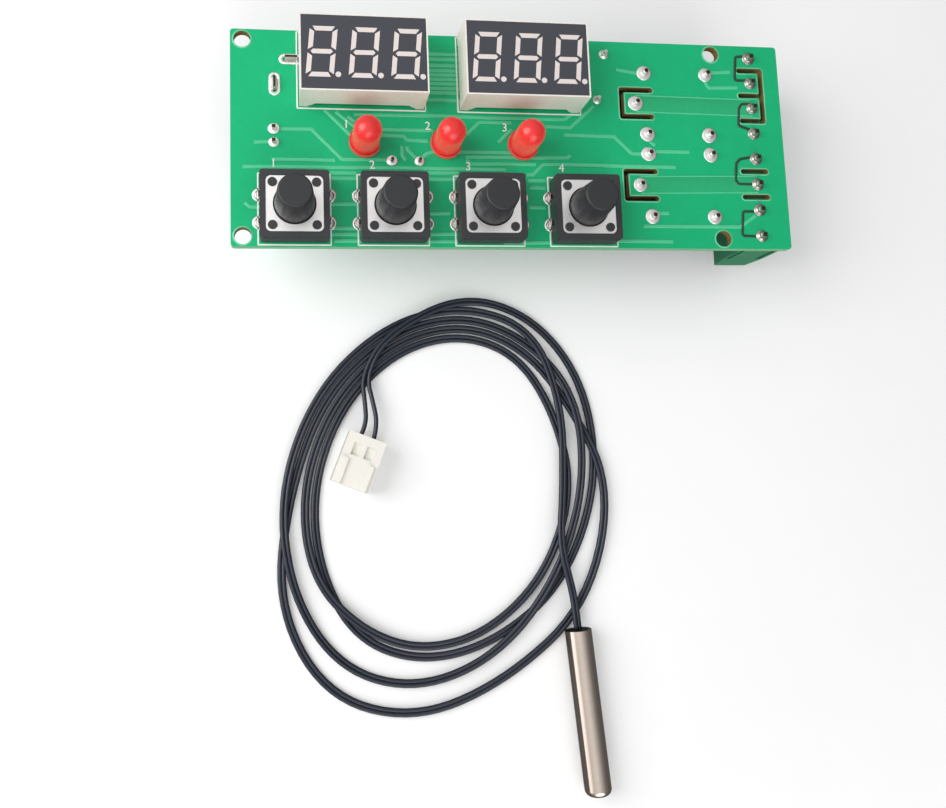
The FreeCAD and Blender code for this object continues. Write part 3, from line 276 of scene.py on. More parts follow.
def ramp(tree, value, low, high, first, last):
    """A number that goes from first to last while value goes from low to high."""
    ends = {"From Min": low, "From Max": high, "To Min": first, "To Max": last}
    return out(tree, "ShaderNodeMapRange", {"Value": value, **ends})


def own_place(tree):
    """The place on the piece, in its own coordinates."""
    return add(tree, "ShaderNodeTexCoord").outputs["Object"]


FLOOR_CORNERS = [(-4, -4, 0), (4, -4, 0), (4, 4, 0), (-4, 4, 0)]
FLOOR_DROP = 0.05 * MM
FLOOR_TONES = (0.87, 0.89)
FLOOR_REACH = (0.12, 0.75)
FLOOR_LIFT = (0.1, 0.56)
MIRRORED_FLOOR = 0.15

floor_mesh = bpy.data.meshes.new("floor")
floor_mesh.from_pydata(FLOOR_CORNERS, [], [(0, 1, 2, 3)])
floor = bpy.data.objects.new("floor", floor_mesh)
floor.location.z = -FLOOR_DROP
bpy.context.collection.objects.link(floor)
paper, tree, shader = new_material("paper")
ray = add(tree, "ShaderNodeLightPath").outputs
speck = add(tree, "ShaderNodeTexNoise", {"Scale": 900.0, "Detail": 3.0}).outputs["Fac"]
tone = ramp(tree, speck, 0.0, 1.0, *FLOOR_TONES)
mirrored = ramp(tree, ray["Is Glossy Ray"], 0.0, 1.0, 1.0, MIRRORED_FLOOR)
far = add(tree, "ShaderNodeVectorMath", {0: own_place(tree)}, operation="LENGTH").outputs["Value"]
lift = ramp(tree, far, *FLOOR_REACH, *FLOOR_LIFT)
seen = math_node(tree, "MULTIPLY", ray["Is Camera Ray"], lift)
feed(tree, shader, {"Base Color": math_node(tree, "MULTIPLY", tone, mirrored), "Roughness": 0.9})
feed(tree, shader, {"Specular IOR Level": 0.1, "Emission Color": (1, 1, 1, 1), "Emission Strength": seen})
floor_mesh.materials.append(paper)
print("floor:", len(tree.nodes), "nodes")

# %% [markdown]
# The light is soft: an even sky, a broad panel low beyond the left end of the board and another low in
# front. The camera sees the sky white. In reflections it fades towards the horizon and the right, so that
# the mask's gloss fades along the board, and a bright strip at the far left puts a bright line on steel.

# %% Sky and panels
SKY_LIGHT = 0.5
# from and to which way of the sky, and the levels there
RISE = (0.0, 0.9, 0.4, 1.0)
FADE = (-0.1, 0.8, 1.0, 0.3)
STRIP = (-0.93, -0.72, 1.3, 0.0)


def panel(name, place, aim, size, power):
    """A round soft light that faces aim."""
    data = bpy.data.lights.new(name, "AREA")
    data.shape = "DISK"
    data.size = size
    data.energy = power
    lamp = bpy.data.objects.new(name, data)
    lamp.location = place
    lamp.rotation_euler = (Vector(aim) - Vector(place)).to_track_quat("-Z", "Y").to_euler()
    bpy.context.collection.objects.link(lamp)


world = bpy.data.worlds.new("sky")
bpy.context.scene.world = world
world.use_nodes = True
tree = world.node_tree
backdrop = tree.nodes["Background"]
ray = add(tree, "ShaderNodeLightPath").outputs
coord = add(tree, "ShaderNodeTexCoord").outputs["Generated"]
way = add(tree, "ShaderNodeSeparateXYZ", {0: coord}).outputs
dome = math_node(tree, "MULTIPLY", ramp(tree, way["Z"], *RISE), ramp(tree, way["X"], *FADE))
lit = math_node(tree, "ADD", dome, ramp(tree, way["X"], *STRIP))
glossy = out(tree, "ShaderNodeMix", {0: ray["Is Glossy Ray"], 2: SKY_LIGHT, 3: lit})
clear = math_node(tree, "MAXIMUM", ray["Is Camera Ray"], ray["Is Transmission Ray"])
level = out(tree, "ShaderNodeMix", {0: clear, 2: glossy, 3: 1.0})
feed(tree, backdrop, {"Color": (1, 1, 1, 1), "Strength": level})
panel("key_panel", place=(-0.3, 0.02, 0.26), aim=(0, -0.02, 0), size=0.34, power=1.1)
panel("fill_panel", place=(0.05, -0.5, 0.25), aim=(0, -0.04, 0), size=0.5, power=1.2)
bpy.context.scene.view_settings.view_transform = "Standard"

# %% [markdown]
# Moulded and plated pieces share one helper. A moulding has a fine grain in its gloss, slow changes of tone
# and a slight unevenness of its skin. Plated metal has a cloudy gloss and a smoother skin. Both read the
# piece's own coordinates in metres, so a feature of half a millimetre has a scale of 2000.

# %% A finish
GLOSS_SPREAD = 0.15


def noise(tree, coord, scale, detail):
    values = {"Vector": coord, "Scale": scale, "Detail": detail}
    return add(tree, "ShaderNodeTexNoise", values).outputs["Fac"]


def srgb(red, green, blue):
    """Linear colour from the values a picture shows, 0 to 255."""
    levels = [c / 255 for c in (red, green, blue)]
    return [c / 12.92 if c <= 0.04045 else ((c + 0.055) / 1.055) ** 2.4 for c in levels]


def skin(name, colour, rough, metal=0.0, tones=0.08, grain=0.5, depth=0.01, **sockets):
    """A material that varies with noise of the grain size, in mm, and its tree, shader and colour."""
    material, tree, shader = new_material(name)
    coord = own_place(tree)
    fine = noise(tree, coord, 1000 / grain, 4.0)
    slow = noise(tree, coord, 120 / grain, 2.0)
    shade = ramp(tree, math_node(tree, "ADD", fine, slow), 0.6, 1.4, 0.0, 1.0)
    dark = [c * (1 - tones) for c in srgb(*colour)] + [1]
    light = [min(1, c * (1 + tones)) for c in srgb(*colour)] + [1]
    mix = add(tree, "ShaderNodeMix", {0: shade, 6: dark, 7: light}, data_type="RGBA").outputs[2]
    gloss = ramp(tree, fine, 0.3, 0.7, rough * (1 - GLOSS_SPREAD), rough * (1 + GLOSS_SPREAD))
    bump = out(tree, "ShaderNodeBump", {"Height": fine, "Strength": 0.5, "Distance": depth * MM})
    feed(tree, shader, {"Base Color": mix, "Roughness": gloss, "Normal": bump, "Metallic": metal})
    feed(tree, shader, {key.replace("_", " "): value for key, value in sockets.items()})
    return material, tree, shader, mix


def finish(*looks, **more):
    """A material of that kind with nothing added."""
    return skin(*looks, **more)[0]


lead_skin = finish("lead_skin", (33, 38, 50), 0.4, tones=0.15, grain=0.6)
print("the lead's skin:", len(lead_skin.node_tree.nodes), "nodes")

# %% [markdown]
# Each solid gets its finish. White mouldings are a little warm, black ones are never quite black, and
# metals differ in gloss: the covers of the switches are dull, and the probe's sleeve is polished. A table
# keeps all of this in one place, and a loop reads it.

# %% Mouldings and metals
PLATED = {"metal": 1.0, "depth": 0.002}
POLISHED = {"tones": 0.04, "grain": 0.8, **PLATED}
DULL_PLATE = {"metal": 1.0, "tones": 0.03, "grain": 0.3, "depth": 0.001}
FILM = {"tones": 0.03, "grain": 3.0, "depth": 0.0003}
MILKY = {"tones": 0.03, "Subsurface_Weight": 0.15, "Subsurface_Scale": 0.001}
FINISHES = (
    ("display_case", (240, 233, 226), 0.42, {}, ["display_*_housing"]),
    ("display_film", (62, 64, 72), 0.3, FILM, ["display_*_face"]),
    ("segment_glow", (228, 217, 212), 0.4, {"tones": 0.03}, ["display_*_segments"]),
    ("switch_black", (46, 47, 50), 0.42, {"tones": 0.12}, ["switch_?_base"]),
    ("plunger_black", (38, 39, 42), 0.5, {"tones": 0.12}, ["switch_?_plunger"]),
    ("cover_steel", (248, 246, 244), 0.4, DULL_PLATE, ["switch_cover_plates"]),
    ("dome_steel", (215, 213, 208), 0.2, PLATED, ["switch_domes"]),
    ("relay_black", (44, 44, 47), 0.36, {"tones": 0.1}, ["relay_?_case"]),
    ("relay_resin", (52, 44, 36), 0.5, {}, ["relay_bases"]),
    ("coil_copper", (184, 115, 72), 0.35, PLATED, ["relay_works"]),
    ("terminal_green", (60, 140, 102), 0.34, {}, ["terminal_?_housing"]),
    ("screw_zinc", (205, 203, 198), 0.3, PLATED, ["terminal_screw_?"]),
    ("cage_zinc", (198, 196, 190), 0.28, PLATED, ["terminal_cage_?"]),
    ("jack_black", (34, 34, 36), 0.45, {}, ["dc_jack_body"]),
    ("nylon", (236, 233, 225), 0.45, MILKY, ["probe_header", "probe_plug"]),
    ("potting", (24, 24, 27), 0.35, {}, ["probe_seal"]),
    ("sleeve_steel", (208, 194, 182), 0.13, POLISHED, ["probe_sleeve"]),
)


def dress(material, *patterns):
    """Give a material to the CAD nodes whose names match."""
    for pattern in patterns:
        for node in fnmatch.filter(frame["nodes"], pattern):
            mesh = frame["nodes"][node].data
            mesh.materials.clear()
            mesh.materials.append(material)


made = {}
for name, colour, rough, looks, patterns in FINISHES:
    made[name] = finish(name, colour, rough, **looks)
    dress(made[name], *patterns)
print("finishes:", len(made))

# %% [markdown]
# The board is glass cloth in resin under a coat of green solder mask. The mask covers only its two faces,
# so the material looks at the way a face points: faces that look up or down are green and glossy, and the
# walls of holes and slots are bare brown laminate, in a darker brown that is partly painted shade inside
# the slots. The outer edge, where light comes through the resin from both faces, is a paler green.

# %% Solder mask and laminate


def axis_of(tree, socket, axis):
    return add(tree, "ShaderNodeSeparateXYZ", {0: socket}).outputs[axis]


def tint(tree, factor, first, second):
    """A colour between two, either of which may be a socket."""
    pair = [c if isinstance(c, bpy.types.NodeSocket) else list(c) + [1] for c in (first, second)]
    return add(tree, "ShaderNodeMix", {0: factor, 6: pair[0], 7: pair[1]}, data_type="RGBA").outputs[2]


def level_face(tree):
    """1 on a face that looks straight up or down, 0 on a wall."""
    normal = add(tree, "ShaderNodeNewGeometry").outputs["Normal"]
    return math_node(tree, "ABSOLUTE", axis_of(tree, normal, "Z"))


COATED = {"tones": 0.05, "grain": 1.2, "depth": 0.004}
RIND = 0.3 * MM
mask, tree, shader, green = skin("solder_mask", (10, 178, 118), 0.33, Specular_IOR_Level=0.32, **COATED)
flat = math_node(tree, "GREATER_THAN", level_face(tree), 0.5)
coord = own_place(tree)
layers = {"Vector": coord, "Scale": 900.0, "Distortion": 3.0}
plies = add(tree, "ShaderNodeTexWave", layers, bands_direction="Z").outputs["Fac"]
# painted shade: the laminate brown of the walls is darkened for the shade inside slots and holes
laminate_and_shade = tint(tree, plies, srgb(118, 92, 44), srgb(150, 126, 70))
rind = tint(tree, plies, srgb(112, 186, 138), srgb(150, 204, 160))
outer = []
for axis, reach in zip("XY", board_high):
    off = math_node(tree, "ABSOLUTE", axis_of(tree, coord, axis))
    outer.append(math_node(tree, "GREATER_THAN", off, reach - RIND))
walls = tint(tree, math_node(tree, "MAXIMUM", *outer), laminate_and_shade, rind)
feed(tree, shader, {"Base Color": tint(tree, flat, walls, green)})
dress(mask, "circuit_board")
print("mask:", len(tree.nodes), "nodes")

# %% [markdown]
# Leads are tinned, but their cut ends are not: where the cutter went through, dull darker copper shows. The
# same trick with the face's direction finds those ends, because only they look straight up or down.

# %% Leads with cut ends
tinned, tree, shader, bright = skin("tinned_lead", (214, 212, 206), 0.32, grain=0.4, **PLATED)
cut = math_node(tree, "GREATER_THAN", level_face(tree), 0.95)
feed(tree, shader, {"Base Color": tint(tree, cut, bright, srgb(74, 62, 54))})
leads = ["display_pins", "indicator_leads", "switch_legs", "relay_pins", "probe_header_pins"]
leads += ["terminal_contacts", "dc_jack_contacts"]
dress(tinned, *leads)

# %% [markdown]
# The lamps are cloudy red resin. Light goes in, scatters and comes out red, and a bright spot of the panels
# sits on the dome. Clear transmission would show the green board through the red as brown, so the shader
# scatters light below the surface instead. A faint glow is painted light: it stands for the light that
# comes through from behind. It is stronger on the walls than on the dome, because the walls get less light
# from above.

# %% Red resin
WALL_PAINTED_LIGHT = 0.32
DOME_PAINTED_LIGHT = 0.08
CLOUDY = {"tones": 0.04, "grain": 1.5, "depth": 0.002, "Specular_IOR_Level": 0.5}
SCATTER = {"Subsurface_Weight": 1.0, "Subsurface_Radius": (1.0, 0.12, 0.1), "Subsurface_Scale": 0.003}
resin, tree, shader, _ = skin("red_resin", (214, 44, 46), 0.2, **CLOUDY, **SCATTER)
# painted light: the resin glows, more on the walls than on the dome, to lift the walls that get less light
# from above
painted_glow = ramp(tree, level_face(tree), 0.0, 1.0, WALL_PAINTED_LIGHT, DOME_PAINTED_LIGHT)
feed(tree, shader, {"Emission Color": (1.0, 0.1, 0.07, 1.0), "Emission Strength": painted_glow})
dress(resin, "indicator_left", "indicator_middle", "indicator_right")
print("resin: scatter over", round(shader.inputs["Subsurface Scale"].default_value / MM, 2), "mm")

# %% [markdown]
# The parts under the board are seen from below. The capacitor has a dark sleeve with one pale stripe for
# its negative lead and a bare aluminium end. It is one solid, so its material finds the stripe by the angle
# about the can's middle line, and the end by its height and the distance from its middle.

# %% Capacitor
CAN = (-20.9, -4.1)
STRIPE_TURN = -2.2
STRIPE_HALF = 0.32
BARE_RADIUS = 4.1
BARE_HEIGHT = 0.3


def apart(tree, value, middle):
    """How far a number is from a middle, either way."""
    return math_node(tree, "ABSOLUTE", math_node(tree, "SUBTRACT", value, middle))


can, tree, shader, dark = skin("capacitor_sleeve", (30, 32, 44), 0.3, tones=0.1)
coord = own_place(tree)
beside = math_node(tree, "SUBTRACT", axis_of(tree, coord, "X"), CAN[0] * MM)
before = math_node(tree, "SUBTRACT", axis_of(tree, coord, "Y"), CAN[1] * MM)
angle = math_node(tree, "ARCTAN2", before, beside)
stripe = math_node(tree, "LESS_THAN", apart(tree, angle, STRIPE_TURN), STRIPE_HALF)
sleeve = tint(tree, stripe, dark, srgb(188, 190, 196))
middle = (CAN[0] * MM, CAN[1] * MM, 0)
reach = add(tree, "ShaderNodeVectorMath", {0: coord, 1: middle}, operation="DISTANCE").outputs["Value"]
end = math_node(tree, "LESS_THAN", reach, BARE_RADIUS * MM)
low = math_node(tree, "LESS_THAN", axis_of(tree, coord, "Z"), BARE_HEIGHT * MM)
bare = math_node(tree, "MULTIPLY", end, low)
feed(tree, shader, {"Base Color": tint(tree, bare, sleeve, srgb(200, 200, 202)), "Metallic": bare})
dress(can, "capacitor")
print("capacitor at", CAN)

# %% [markdown]
# The chip is black with tinned leads, the small resistors have tinned ends, and the diode has tinned leads
# and a pale band. Here too the materials find these places by coordinates, which is less work than parting
# the solids.

# %% Chip and small parts
TIN = srgb(205, 203, 198)
CHIP_Y, CHIP_HALF = -5.8, 2.66
ROW_X, ROW_Y = -5.0, 3.6
DIODE_X, DIODE_Y = 16.4, 12.9
BAND_Y = 14.1


def within(tree, value, middle, half):
    """1 where value lies within half of middle, both in mm."""
    return math_node(tree, "LESS_THAN", apart(tree, value, middle * MM), half * MM)


def both(tree, first, second):
    return math_node(tree, "MULTIPLY", first, second)


def outside(tree, inside):
    return math_node(tree, "SUBTRACT", 1.0, inside)


chip, tree, shader, black = skin("chip_black", (38, 38, 40), 0.5, tones=0.1, grain=0.3)
legs = outside(tree, within(tree, axis_of(tree, own_place(tree), "Y"), CHIP_Y, CHIP_HALF))
feed(tree, shader, {"Base Color": tint(tree, legs, black, TIN), "Metallic": legs})
dress(chip, "microcontroller")

small, tree, shader, black = skin("small_black", (36, 36, 40), 0.45, tones=0.1, grain=0.3)
coord = own_place(tree)
x, y = axis_of(tree, coord, "X"), axis_of(tree, coord, "Y")
row = both(tree, within(tree, y, ROW_Y, 1.1), within(tree, x, ROW_X, 10.5))
caps = both(tree, row, outside(tree, within(tree, y, ROW_Y, 0.62)))
near_diode = within(tree, x, DIODE_X, 2.0)
wire = both(tree, near_diode, within(tree, y, DIODE_Y, 6.0))
wire = both(tree, wire, outside(tree, within(tree, y, DIODE_Y, 2.02)))
band = both(tree, near_diode, within(tree, y, BAND_Y, 0.35))
tin = math_node(tree, "MAXIMUM", caps, wire)
pale = math_node(tree, "MAXIMUM", tin, band)
feed(tree, shader, {"Base Color": tint(tree, pale, black, TIN), "Metallic": tin})
dress(small, "small_parts")
print("materials:", len(bpy.data.materials), "for", len(frame["nodes"]), "nodes")

# %% [markdown]
# Solder, pads, tracks and print repeat or follow paths, so Geometry Nodes make them. Each tree takes its
# sizes as named inputs. A holder mesh brings the places as points, or the routes as chains of edges. The
# result is turned into a plain mesh straight away, because instances and live modifiers don't travel with
# the model.

# %% Helpers for the trees


def new_tree(name, sizes):
    """A tree with a geometry input, one input for each size in mm, and a geometry output."""
    tree = bpy.data.node_groups.new(name, "GeometryNodeTree")
    tree.interface.new_socket("Geometry", in_out="INPUT", socket_type="NodeSocketGeometry")
    for size in sizes:
        tree.interface.new_socket(size, in_out="INPUT", socket_type="NodeSocketFloat")
    tree.interface.new_socket("Geometry", in_out="OUTPUT", socket_type="NodeSocketGeometry")
    return tree, tree.nodes.new("NodeGroupInput").outputs


def end_tree(tree, geometry, material):
    """Real geometry, smooth and with its material, as the tree's result."""
    real = out(tree, "GeometryNodeRealizeInstances", {"Geometry": geometry})
    smooth = out(tree, "GeometryNodeSetShadeSmooth", {"Geometry": real, "Shade Smooth": True})
    painted = out(tree, "GeometryNodeSetMaterial", {"Geometry": smooth, "Material": material})
    add(tree, "NodeGroupOutput", {0: painted})


def grow(name, tree, sizes, points, edges=()):
    """Run a tree on points, in mm, and return a plain mesh object at the origin."""
    mesh = bpy.data.meshes.new(name)
    mesh.from_pydata([Vector(p) * MM for p in points], edges, [])
    piece = bpy.data.objects.new(name, mesh)
    bpy.context.collection.objects.link(piece)
    modifier = piece.modifiers.new(name, "NODES")
    modifier.node_group = tree
    for item in tree.interface.items_tree:
        if item.in_out == "INPUT" and item.name in sizes:
            modifier[item.identifier] = sizes[item.name] * MM
    seen = bpy.context.evaluated_depsgraph_get()
    plain = bpy.data.meshes.new_from_object(piece.evaluated_get(seen), depsgraph=seen)
    piece.modifiers.clear()
    piece.data = plain
    bpy.data.meshes.remove(mesh)
    print(name, "faces:", len(plain.polygons))
    return piece


def settle(piece):
    """A piece that stays with the board."""
    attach(piece, "controller")


# %% [markdown]
# A solder joint has a low round rim on its pad and then draws in along a hollow curve to the lead. A short
# upright path with a circle swept along it does this, where the circle keeps its size up to the rim and
# then shrinks with a power of the way that is left. The rim stands higher than a track, so that no track
# shows through. Each joint is turned and sized a little differently, with a fixed seed.

# %% The form of a solder joint
HOLLOW = 2.2
JOINT_SIDES = 18
JOINT_STEPS = 12
FULL_TURN = (0, 0, 6.28)
LEAST_SIZE = (0.93, 0.93, 0.8)
MOST_SIZE = (1.06, 1.06, 1.2)


def scatter(tree, least, most, seed):
    """A different vector between least and most for each copy."""
    values = {0: least, 1: most, "Seed": seed}
    return out(tree, "FunctionNodeRandomValue", values, data_type="FLOAT_VECTOR")


def solder_tree(name, seed, upward, material):
    """Joints on points, standing on the board or hanging under it."""
    tree, sizes = new_tree(name, ("Pad Radius", "Tip Radius", "Height", "Rim"))
    tall = sizes["Height"]
    if not upward:
        tall = math_node(tree, "MULTIPLY", tall, -1.0)
    top = out(tree, "ShaderNodeCombineXYZ", {"Z": tall})
    path = out(tree, "GeometryNodeCurvePrimitiveLine", {"End": top})
    steps = out(tree, "GeometryNodeResampleCurve", {"Curve": path, "Count": JOINT_STEPS})
    way = add(tree, "GeometryNodeSplineParameter").outputs["Factor"]
    rim = math_node(tree, "DIVIDE", sizes["Rim"], sizes["Height"])
    bend = math_node(tree, "POWER", ramp(tree, way, rim, 1.0, 1.0, 0.0), HOLLOW)
    width = ramp(tree, bend, 0.0, 1.0, sizes["Tip Radius"], sizes["Pad Radius"])
    ring = out(tree, "GeometryNodeCurvePrimitiveCircle", {"Resolution": JOINT_SIDES, "Radius": 1.0})
    swept = {"Curve": steps, "Profile Curve": ring, "Scale": width, "Fill Caps": True}
    copied = {"Points": sizes["Geometry"], "Instance": out(tree, "GeometryNodeCurveToMesh", swept)}
    copied["Rotation"] = scatter(tree, (0, 0, 0), FULL_TURN, seed)
    copied["Scale"] = scatter(tree, LEAST_SIZE, MOST_SIZE, seed + 1)
    end_tree(tree, out(tree, "GeometryNodeInstanceOnPoints", copied), material)
    return tree


solder = finish("solder", (240, 238, 236), 0.42, metal=1.0, tones=0.05, grain=0.6, depth=0.004)
dull_solder = finish("dull_solder", (168, 164, 158), 0.3, metal=1.0, tones=0.2, grain=0.5, depth=0.03)
above = solder_tree("solder_above", 3, True, solder)
dull = solder_tree("solder_dull", 5, True, dull_solder)
below = solder_tree("solder_below", 8, False, solder)
print("solder trees:", [tree.name for tree in bpy.data.node_groups])

# %% [markdown]
# There is a joint where each lead comes through. Parts under the board are soldered on the display side,
# and displays, lamps and switches from below. The terminals' thick pins stand up and keep duller solder.
# The leads of a part repeat at even steps, so loops give their places.

# %% Solder on the leads


def at(places, z):
    return [(x, y, z) for x, y in places]


RELAY_Y = 7.93
RELAY_PIN_X = (25.0, 37.2)
RELAY_PIN_Y = (6.0, -6.0)
HEADER_X = -44.4
SWITCH_Y = -13.25
LEG_X, LEG_Y = 6.15, 2.5
PIN_STEP, PIN_Y, PIN_ROW = 2.54, 12.75, 5.08
relay_places = [(23.0, s * RELAY_Y) for s in BOTH_WAYS]
relay_places += [(x, s * RELAY_Y + d) for x in RELAY_PIN_X for s in BOTH_WAYS for d in RELAY_PIN_Y]
terminal_places = [(46.2, 17.5 - 5 * n) for n in range(8)]
header_places = [(HEADER_X, 1.47), (HEADER_X, -1.03)]
capacitor_places = [(-23.4, -4.1), (-18.4, -4.1)]
diode_places = [(17.3, 17.4), (15.5, 8.4)]
switch_x = [-40.9 + 17.5 * n for n in range(4)]
leg_places = [(x + i * LEG_X, SWITCH_Y + j * LEG_Y) for x in switch_x for i in BOTH_WAYS for j in BOTH_WAYS]
lamp_x = (-28.2, -13.4, 0.9)
lamp_places = [(x + i * 1.27, -0.7) for x in lamp_x for i in BOTH_WAYS]
display_x = (-28.6, 0.6)
pin_x = [x + PIN_STEP * (n - 2.5) for x in display_x for n in range(6)]
display_places = [(x, PIN_Y + s * PIN_ROW) for x in pin_x for s in BOTH_WAYS]
RIM_HEIGHT = 0.1
JOINTS = (
    ("solder_relays", above, relay_places, TOP, 1.42, 0.5, 0.34),
    ("solder_terminals", dull, terminal_places, TOP, 1.2, 0.62, 0.62),
    ("solder_header", above, header_places, TOP, 0.98, 0.46, 0.3),
    ("solder_capacitor", above, capacitor_places, TOP, 0.95, 0.42, 0.26),
    ("solder_diode", above, diode_places, TOP, 0.9, 0.48, 0.7),
    ("solder_displays", below, display_places, UNDER, 0.85, 0.36, 0.8),
    ("solder_lamps", below, lamp_places, UNDER, 0.85, 0.36, 0.8),
    ("solder_switches", below, leg_places, UNDER, 1.0, 0.62, 0.8),
)
for name, tree, places, z, pad, tip, tall in JOINTS:
    sizes = {"Pad Radius": pad, "Tip Radius": tip, "Height": tall, "Rim": RIM_HEIGHT}
    settle(grow(name, tree, sizes, at(places, z)))

# %% [markdown]
# Tracks are copper under the mask: low strips that look paler than the rest. Printed lines and marker
# strokes are strips too. All are a flat profile swept along a route, so one tree serves for each colour,
# with the strip's widths and height as inputs.

# %% Strips along routes
SUNK = 0.01


def strip_tree(name, material, corner):
    """A low strip with sloping sides along each route."""
    tree, sizes = new_tree(name, ("Foot Width", "Top Width", "Height"))
    chain = out(tree, "GeometryNodeMeshToCurve", {"Mesh": sizes["Geometry"]})
    bends = {"Curve": chain, "Count": 4, "Radius": corner * MM, "Limit Radius": True}
    eased = out(tree, "GeometryNodeFilletCurve", bends, mode="POLY")
    level = out(tree, "GeometryNodeSetCurveNormal", {"Curve": eased}, mode="Z_UP")
    # the sweep turns the profile over, so the profile's top is the strip's foot
    widths = {"Top Width": sizes["Foot Width"], "Bottom Width": sizes["Top Width"], "Offset": 0.0}
    widths["Height"] = sizes["Height"]
    section = out(tree, "GeometryNodeCurvePrimitiveQuadrilateral", widths, mode="TRAPEZOID")
    swept = {"Curve": level, "Profile Curve": section, "Fill Caps": True}
    end_tree(tree, out(tree, "GeometryNodeCurveToMesh", swept), material)
    return tree


def lay(name, tree, foot, top, height, routes):
    """Strips on the board, each sunk in it by a hair. A route that ends where it starts is a loop."""
    points, edges = [], []
    for route in routes:
        start = len(points)
        count = len(route) - (route[0] == route[-1])
        points += at(route[:count], TOP + height / 2 - SUNK)
        edges += [(start + k, start + (k + 1) % count) for k in range(len(route) - 1)]
    return grow(name, tree, {"Foot Width": foot, "Top Width": top, "Height": height}, points, edges)


thin = strip_tree("signal_track", finish("track_green", (78, 200, 146), 0.33, **COATED), 0.4)
broad = strip_tree("mains_track", finish("mains_green", (26, 172, 112), 0.33, **COATED), 0.4)
print("strip tree:", len(thin.nodes), "nodes")

# %% [markdown]
# On the display side ten tracks run side by side between the displays, others pass the lamps and the
# switches, and two broad ones carry the mains from the relays to the terminals. A broad track shows mostly
# by its outline, so thin strips are laid along its edges.

# %% Tracks on the display side
BUS_Y = (16.4, 15.4, 14.2, 13.2, 12.4, 11.55, 10.7, 9.8, 8.95, 7.55)
SWITCH_BUS_Y = (-6.5, -7.5, -12.2, -16.6, -17.7)
signal_routes = [[(-17.6, y), (-10.4, y)] for y in BUS_Y]
signal_routes += [[(-34.5, y), (-29.8, y)] for y in SWITCH_BUS_Y]
signal_routes += [
    [(-43.2, 1.4), (-37.7, 1.5), (-32.3, -4.0), (-24.2, -4.0)],
    [(-47.9, -1.1), (-45.2, -1.0)],
    [(-44.8, -4.2), (-33.6, -4.2)],
    [(-49.5, -12.1), (-48.6, -12.9), (-46.5, -12.9)],
    [(-49.9, -5.6), (-15.9, -5.4), (-2.5, -5.5)],
    [(-35.3, 5.2), (-30.8, 0.6)],
    [(-33.3, 4.9), (-29.8, 2.0)],
    [(-31.2, 4.1), (-29.9, 3.1)],
    [(-30.1, 4.4), (-15.7, 4.5), (-5.3, 4.4), (9.1, 4.4), (10.7, 5.6)],
    [(-25.0, 1.7), (-15.8, 1.7)],
    [(-25.3, 0.6), (-21.1, 0.5), (-20.6, -0.2), (-16.7, -0.3)],
    [(-21.5, -1.3), (-21.5, -3.0), (-20.9, -4.0)],
    [(-20.6, -1.4), (-20.5, -2.0), (-18.9, -3.6)],
    [(-18.0, -3.6), (-17.1, -2.7), (-15.9, -2.3), (-1.3, -2.2)],
    [(-9.6, 1.0), (-7.1, 3.5), (-1.1, 3.5)],
    [(-3.7, -0.3), (-1.1, 2.2)],
    [(5.4, 3.0), (10.1, 2.8), (14.8, 7.2)],
    [(8.8, 1.4), (18.5, 1.3), (21.7, -1.9), (24.6, -1.9)],
    [(-9.9, -3.2), (9.4, -3.0), (9.8, -2.5)],
    [(-9.7, -3.6), (-9.0, -4.5), (3.2, -4.3)],
    [(1.4, -6.3), (2.6, -6.3), (4.6, -4.3), (30.1, -4.4)],
    [(-17.1, -6.2), (-11.3, -6.2)],
    [(-17.1, -7.4), (-11.5, -7.4)],
    [(1.6, -7.4), (4.8, -7.4)],
    [(1.8, -8.7), (4.8, -8.8)],
    [(1.6, -12.4), (4.6, -12.5)],
    [(-16.8, -13.8), (-13.1, -13.7)],
    [(-16.9, -17.6), (-11.9, -17.5)],
    [(-34.0, -18.9), (-11.9, -18.9)],
    [(-3.5, -19.1), (5.3, -19.0)],
    [(18.0, -18.6), (28.6, -18.7)],
    [(19.6, 14.6), (20.4, 14.4), (23.6, 13.9)],
    [(38.2, 14.4), (42.3, 14.7)],
    [(37.0, 12.8), (37.8, 11.4), (43.6, 11.6)],
    [(26.2, -1.4), (33.0, -1.4)],
    [(23.1, -15.8), (42.1, -15.8), (45.3, -13.6)],
    [(25.4, 0.4), (26.4, -0.2)],
    [(26.2, -13.3), (28.2, -13.3)],
]
MAINS_HALF = 1.6
mains_routes = [[(23.0, 7.9), (46.2, 7.6)], [(23.0, -7.9), (46.2, -7.5)]]
mains_edges = [[(x, y + s * MAINS_HALF) for x, y in route] for route in mains_routes for s in BOTH_WAYS]
settle(lay("signal_tracks", thin, 0.76, 0.58, 0.08, signal_routes))
settle(lay("mains_tracks", broad, 3.3, 3.1, 0.07, mains_routes))
settle(lay("mains_track_edges", thin, 0.34, 0.22, 0.1, mains_edges))

# %% [markdown]
# Under the board, thin tracks run in parallel from the chip to the row of resistors and on to the display
# pins, and from the switches to the chip. Each track of a bundle turns at its own level, so that none
# crosses another. The tracks that carry the supply are broad.

